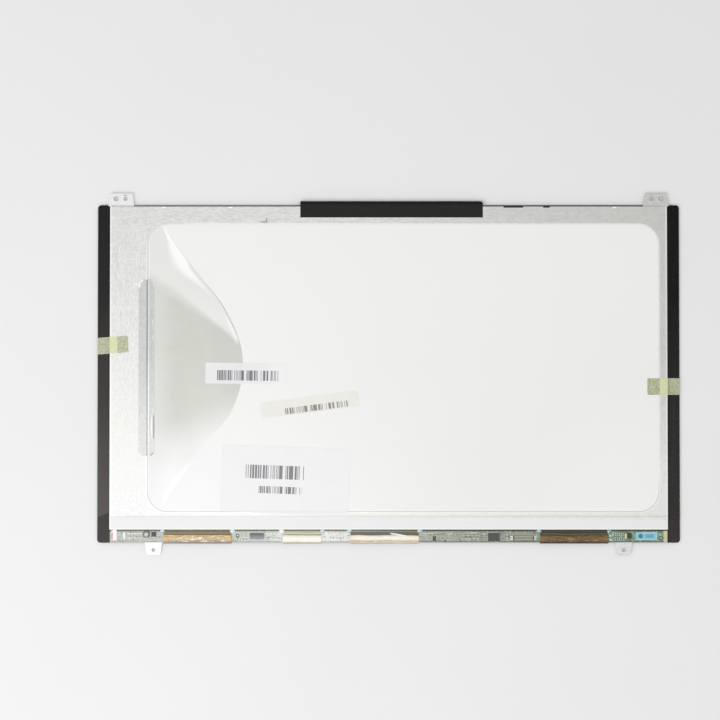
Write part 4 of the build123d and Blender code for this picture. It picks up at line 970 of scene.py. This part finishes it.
# Board sticker and end tape: a blue paper dot label with a plain circle and bar, and a pale gold tape.
# Both are pressed on the board's right end.
sticker = Finish("blue_sticker", ["board_sticker"], 0.4)
low, high = box_mm("board_sticker")
dot_x, bar_x, bar_half_x, bar_half_y = 2.9, 8.4, 2.8, 1.3
right, up = sticker.x - low.x, sticker.y - (low.y + high.y) / 2
dot = step(out_squared(right, up, (dot_x, 0.0)), 2.6, 1.5)
bar = step(smaller(bar_half_x - abs(right - bar_x), bar_half_y - abs(up)), -0.1, 0.3)
from_rim = smaller((high.y - low.y) / 2 - abs(up), smaller(right, high.x - low.x - right))
sticker.base(sticker.mottle(1.4), (124, 184, 205), (150, 208, 226))
sticker.layer(step(from_rim, 0.9, 0.2) * 0.5, (196, 230, 240))
sticker.layer(bar * 0.75, (96, 154, 180))
sticker.layer(dot, (58, 122, 160))
plain_finish("gold_end_tape", ["board_end_tape"], 0.3, 1.2, (194, 182, 144), (218, 207, 172),
             grain=(1.0, 0.03), Metallic=0.2)


# Black top tape: a matt black polyester strip that closes the cover's upper seam and folds onto the glass.
# One corner is snipped off, and it is a little dusty.
seam_tape = Finish("black_seam_tape", ["top_edge_tape"], 0.5, Specular_IOR_Level=0.18)
seam_tape.base(seam_tape.mottle(5.0, 4.0, (5, 1, 1)), (22, 22, 21), (34, 33, 31))
seam_tape.layer(step(seam_tape.y, glass_top_y - 0.4, glass_top_y + 0.4), (14, 15, 18))
lint = step(seam_tape.mottle(0.8, 5.0), 0.66, 0.78)
seam_tape.layer(lint * 0.45, (96, 94, 92))
seam_tape.emboss(seam_tape.mottle(3.0, 3.0, (4, 1, 1)), 0.03)


# Hold tapes: pale yellow polyester strips that hold the cover's sides down on the glass border.
# The film is thin, so it looks olive where it lies on black tape and bright where it bridges the step.
def dimmed(colour, by):
    """A screen colour made darker by so many levels."""
    return tuple(part - by for part in colour)


bridge_start, bridge_end = 7.5, 12.2
# Painted shade: the right tape is dimmed more than the left.
for node, way_in, dim in (("left_hold_tape", 1, 5), ("right_hold_tape", -1, 9)):
    hold = Finish("yellow_" + node, [node], 0.3, Coat_Weight=0.3)
    low, high = box_mm(node)
    inward = (hold.x - (low.x if way_in > 0 else high.x)) * way_in
    patch = step(hold.mottle(1.1, 5.0), 0.3, 0.7)
    hold.base(patch, dimmed((168, 170, 138), dim), dimmed((200, 202, 174), dim))
    bridge = blend(patch, dimmed((217, 220, 172), dim), dimmed((228, 231, 190), dim))
    hold.layer(step(inward, bridge_start, bridge_start + 0.4), bridge)
    on_steel = blend(patch, dimmed((166, 168, 134), dim), dimmed((204, 206, 176), dim))
    hold.layer(step(inward, bridge_end, bridge_end + 0.5), on_steel)
    hold.emboss(hold.mottle(2.5, 3.0), 0.04)


# Clear tape: a strip of clear polyester across the window's left edge, holding the reflector down.
# It has lifted along the film side, with a blister, small waves, snipped corners and a scratch. Highlights
# on its edges, corners and blister, a shade line over the window's edge and a shadow beside the blister are
# painted on it, and it is painted lighter low down.
tape_low, tape_high = box_mm("reflector_tape")
tape_thickness, corner_cut = 0.05, 2.2
blister_x, blister_y, blister_half, blister_rise = window_left + 3.4, -32.4, 9.5, 0.18
shadow_x, shadow_y = window_left + 4.2, -33.0
scratch_x, scratch_y, scratch_way = window_left + 2.8, -50.4, (0.61, 0.79)
row_count, column_count = 150, 48
tape_rows, shade_and_scratch_marks, painted_gleam_marks, veil_marks = [], [], [], []
for j in range(row_count + 1):
    y = tape_low.y + (tape_high.y - tape_low.y) * j / row_count
    from_top = tape_high.y - y
    cut = max(corner_cut - min(y - tape_low.y, from_top), 0.0)
    wave = 0.22 * smooth_noise.noise((y / 7, 3.0, 1.0)) + 0.12 * smooth_noise.noise((y / 2.2, 8.0, 1.0))
    left, right = tape_low.x + cut, tape_high.x - cut - 0.34 + wave
    bulge = max(1 - ((y - blister_y) / blister_half) ** 2, 0.0)
    flutter = soft(0.02, 0.4, smooth_noise.noise((y / 5, 1.0, 2.0)))
    row = []
    for i in range(column_count + 1):
        x = left + (right - left) * i / column_count
        from_left, from_right = x - left, right - x
        drop = soft(window_left - 0.15, window_left + 0.9, x)
        lift = 0.05 * drop * (1 + smooth_noise.noise((x / 2.2, y / 5, 6.0)))
        blister = soft(0.9 * bulge + 0.01, 0.25 * bulge, abs(x - blister_x + 0.5 * bulge)) if bulge else 0.0
        below = steel_top * (1 - drop) + film_height(x, y) * drop
        row.append((x, y, below + 0.01 + tape_thickness + lift + blister_rise * blister))
        # Painted shade: a dark line over the window's edge and a shadow beside the blister; the scratch is a
        # real mark.
        ledge = (0.85 - 0.3 * soft(10, -22, y)) * soft(0.5, 0.1, abs(x - window_left + 0.1))
        shadow = 0.8 * soft(0.4, 0.1, abs(x - shadow_x)) * soft(8.0, 6.0, abs(y - shadow_y))
        along_scratch = (x - scratch_x) * scratch_way[0] + (y - scratch_y) * scratch_way[1]
        across_scratch = (y - scratch_y) * scratch_way[0] - (x - scratch_x) * scratch_way[1]
        scratch = 0.85 * soft(0.45, 0.15, abs(across_scratch)) * soft(2.1, 1.6, abs(along_scratch))
        shade_and_scratch_marks.append(max(ledge, shadow, scratch))
        # Painted highlights: a bright line beside the window's edge, the ragged right edge, the snipped
        # corners and the blister.
        bright_line = (0.75 + 0.25 * soft(25, -8, y)) * soft(0.65, 0.3, abs(x - window_left - 0.85))
        ragged_edge_highlight = 0.75 * flutter * soft(0.7, 0.2, abs(0.9 - from_right))
        ragged_edge_highlight = max(ragged_edge_highlight, 0.45 * soft(1.1, 0.3, from_right))
        left_corner = soft(1.6, 0.8, from_left) * soft(6.6, 4.4, from_top)
        right_corner = 0.8 * soft(1.2, 0.5, from_right) * soft(6.0, 4.2, from_top)
        painted_gleam_marks.append(max(bright_line, ragged_edge_highlight, left_corner, right_corner, blister))
        veil_marks.append(0.34 * max(soft(0.5, 0.0, from_left), soft(0.6, 0.1, from_right)))
    tape_rows.append(row)

clear = Finish("clear_tape", [], 0.14, IOR=1.5)
gleam, dark = mark_of(clear, "gleam"), mark_of(clear, "dark")
clear.base(clear.mottle(1.8, 4.0, (1, 3, 1)), (212, 217, 217), (228, 232, 232))
# Painted light: the tape is painted lighter towards its lower end.
clear.layer(step(clear.y, 15.0, -40.0), (250, 252, 252))
clear.layer(gleam, (252, 253, 253))
clear.layer(dark, (104, 108, 106))
body = larger(clear.mottle(2.4, 3.0, (1, 4, 1)) * 0.16 + 0.14, mark_of(clear, "veil"))
clear.follow("Alpha", larger(body, larger(gleam, dark)))
clear.emboss(clear.mottle(1.8, 3.0, (1, 2.5, 1)), 0.05)
sheet_piece("clear_tape_strip", "reflector_tape", tape_rows, tape_thickness, clear,
            {"dark": shade_and_scratch_marks, "gleam": painted_gleam_marks, "veil": veil_marks})


# Labels: three self-adhesive paper or film labels on the reflector, one lying over the buckle.
# They are die-cut with round corners and carry plain bars, and the paper is a little uneven.
label_columns, label_lines, label_thickness = 64, 44, 0.08


def label_piece(finish, name, node, middle, size, turn, corner):
    """Label with round corners that follows the film and the cover's edge below it."""
    rows, across_marks, up_marks = [], [], []
    turned = math.radians(turn)
    for j in range(label_lines + 1):
        row = []
        up = -math.cos(math.pi * j / label_lines) * size[1] / 2
        past = max(abs(up) - (size[1] / 2 - corner), 0.0)
        half = size[0] / 2 - corner + math.sqrt(max(corner ** 2 - past ** 2, 0.0))
        for i in range(label_columns + 1):
            across = -math.cos(math.pi * i / label_columns) * half
            x = middle[0] + across * math.cos(turned) - up * math.sin(turned)
            y = middle[1] + across * math.sin(turned) + up * math.cos(turned)
            on_steel = soft(window_low + 0.7, window_low - 0.1, y)
            below = film_height(x, y) * (1 - on_steel) + steel_top * on_steel
            wave = 0.004 * (1 + smooth_noise.noise((x / 9, y / 7, 5.0)))
            row.append((x, y, below + 0.006 + label_thickness + wave))
            across_marks.append(across)
            up_marks.append(up)
        rows.append(row)
    sheet_piece(name, node, rows, label_thickness, finish, {"across": across_marks, "up": up_marks})


def bars(finish, low, high, pitch):
    """Where a rectangle of upright bars is dark, in millimetres from the label's middle."""
    across, up = mark_of(finish, "across"), mark_of(finish, "up")
    column = across / pitch
    column = column.calc("FLOOR", column)
    chance = add_node(finish.tree, "TexWhiteNoise", {"W": column}, noise_dimensions="1D")
    inside = smaller(smaller(across - low[0], high[0] - across), smaller(up - low[1], high[1] - up))
    return inside.calc("GREATER_THAN", inside, 0.0) * chance.calc("GREATER_THAN", chance, 0.46)


white_paper = Finish("white_paper", [], 0.4)
white_paper.base(white_paper.mottle(4.0, 4.0), (229, 229, 230), (236, 236, 237))
# Painted light: the white label is painted lighter towards its right end.
white_paper.layer(step(mark_of(white_paper, "across"), 5.0, 24.0) * 0.8, (240, 240, 241))
white_paper.layer(bars(white_paper, (-18.0, -4.4), (20.2, 1.9), 0.36), (118, 118, 126))

cream_paper = Finish("cream_paper", [], 0.36)
cream_paper.base(cream_paper.mottle(7.0, 3.0), (231, 230, 221), (237, 236, 230))
cream_paper.layer(bars(cream_paper, (-15.5, -4.2), (23.6, -0.4), 0.4), (140, 138, 130))

pale_paper = Finish("pale_paper", [], 0.38)
pale_paper.base(pale_paper.mottle(6.0, 4.0), (235, 235, 235), (241, 241, 241))
pale_bars = larger(bars(pale_paper, (-25.5, 0.6), (11.8, 9.0), 0.44),
                   bars(pale_paper, (-16.2, -8.4), (10.6, -4.0), 0.36))
pale_paper.layer(pale_bars, (128, 129, 134))

labels = ((white_paper, "white_paper", "white_label", (-88.4, 0.1), (50.6, 13.0), -0.8, 0.4),
          (cream_paper, "cream_paper", "cream_label", (-49.1, -19.2), (61.5, 9.8), 7.3, 2.4),
          (pale_paper, "pale_paper", "large_label", (-64.2, -66.2), (79.9, 41.5), -2.1, 0.6))
for finish, slot, node, middle, size, turn, corner in labels:
    finish.emboss(finish.mottle(0.5), 0.006)
    label_piece(finish, slot + "_label", node, middle, size, turn, corner)


# Room: a pale table top under the panel, soft even light and two broad lamps towards the lower left.
# Light passes the table from below and close to the panel, so the underside can be seen.
# The camera looks straight down, leaning by a degree so that the lower edge is a little nearer.
table_width, table_drop, contact_reach = 60.0, 0.0001, 4.0
bpy.ops.mesh.primitive_plane_add(size=table_width, location=(0.0, 0.0, -table_drop))
table = bpy.context.object
table.name = "table_top"
table_finish = plain_finish("pale_table", [], 0.75, 120.0, (234, 234, 234), (238, 238, 238))
tree = table_finish.tree
from_below = add_node(tree, "NewGeometry", output="Backfacing")
ray_length = add_node(tree, "LightPath", output="Ray Length")
passed = larger(from_below, ray_length.calc("LESS_THAN", ray_length, contact_reach * mm))
see_under = add_node(tree, "MixShader", {0: passed, 1: Amount(table_finish.shader.outputs[0]),
                                         2: add_node(tree, "BsdfTransparent")})
tree.links.new(see_under.socket, tree.nodes["Material Output"].inputs[0])
table.data.materials.append(table_finish.material)
table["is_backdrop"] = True

world = bpy.data.worlds.new("soft_room")
bpy.context.scene.world = world
world.use_nodes = True
tree = world.node_tree
sky = tree.nodes["Background"]
sky.inputs[0].default_value = (1.0, 1.0, 1.0, 1.0)
seen = add_node(tree, "LightPath", output="Is Camera Ray")
seen = seen + add_node(tree, "LightPath", output="Is Glossy Ray")
seen = seen + add_node(tree, "LightPath", output="Is Transmission Ray")
strength = add_node(tree, "MapRange", {"Value": seen, "To Min": 0.7, "To Max": 0.8})
tree.links.new(strength.socket, sky.inputs[1])

lamps = (("side_lamp", (-0.62, -0.5, 0.9), 0.8, 4.4), ("front_lamp", (-0.2, -0.27, 1.4), 0.4, 1.7))
for name, place, size, watts in lamps:
    lamp_data = bpy.data.lights.new(name, "AREA")
    lamp_data.energy = watts
    lamp_data.shape = "SQUARE"
    lamp_data.size = size
    lamp = bpy.data.objects.new(name, lamp_data)
    lamp.location = place
    lamp.rotation_euler = (-lamp.location).to_track_quat("-Z", "Y").to_euler()
    bpy.context.scene.collection.objects.link(lamp)

lens = bpy.data.cameras.new("camera")
lens.sensor_width, lens.lens = 36.0, 78.0
lens.clip_start, lens.clip_end = 0.01, 20.0
camera = bpy.data.objects.new("camera", lens)
lean, reach, looked_at = math.radians(1.0), 0.97, Vector((-0.01775, 0.0085, 0.002))
camera.location = looked_at + reach * Vector((0.0, -math.sin(lean), math.cos(lean)))
camera.rotation_euler = (lean, 0.0, 0.0)
bpy.context.scene.collection.objects.link(camera)
bpy.context.scene.camera = camera


# Size: the box of the dressed panel, in metres.
low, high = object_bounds()
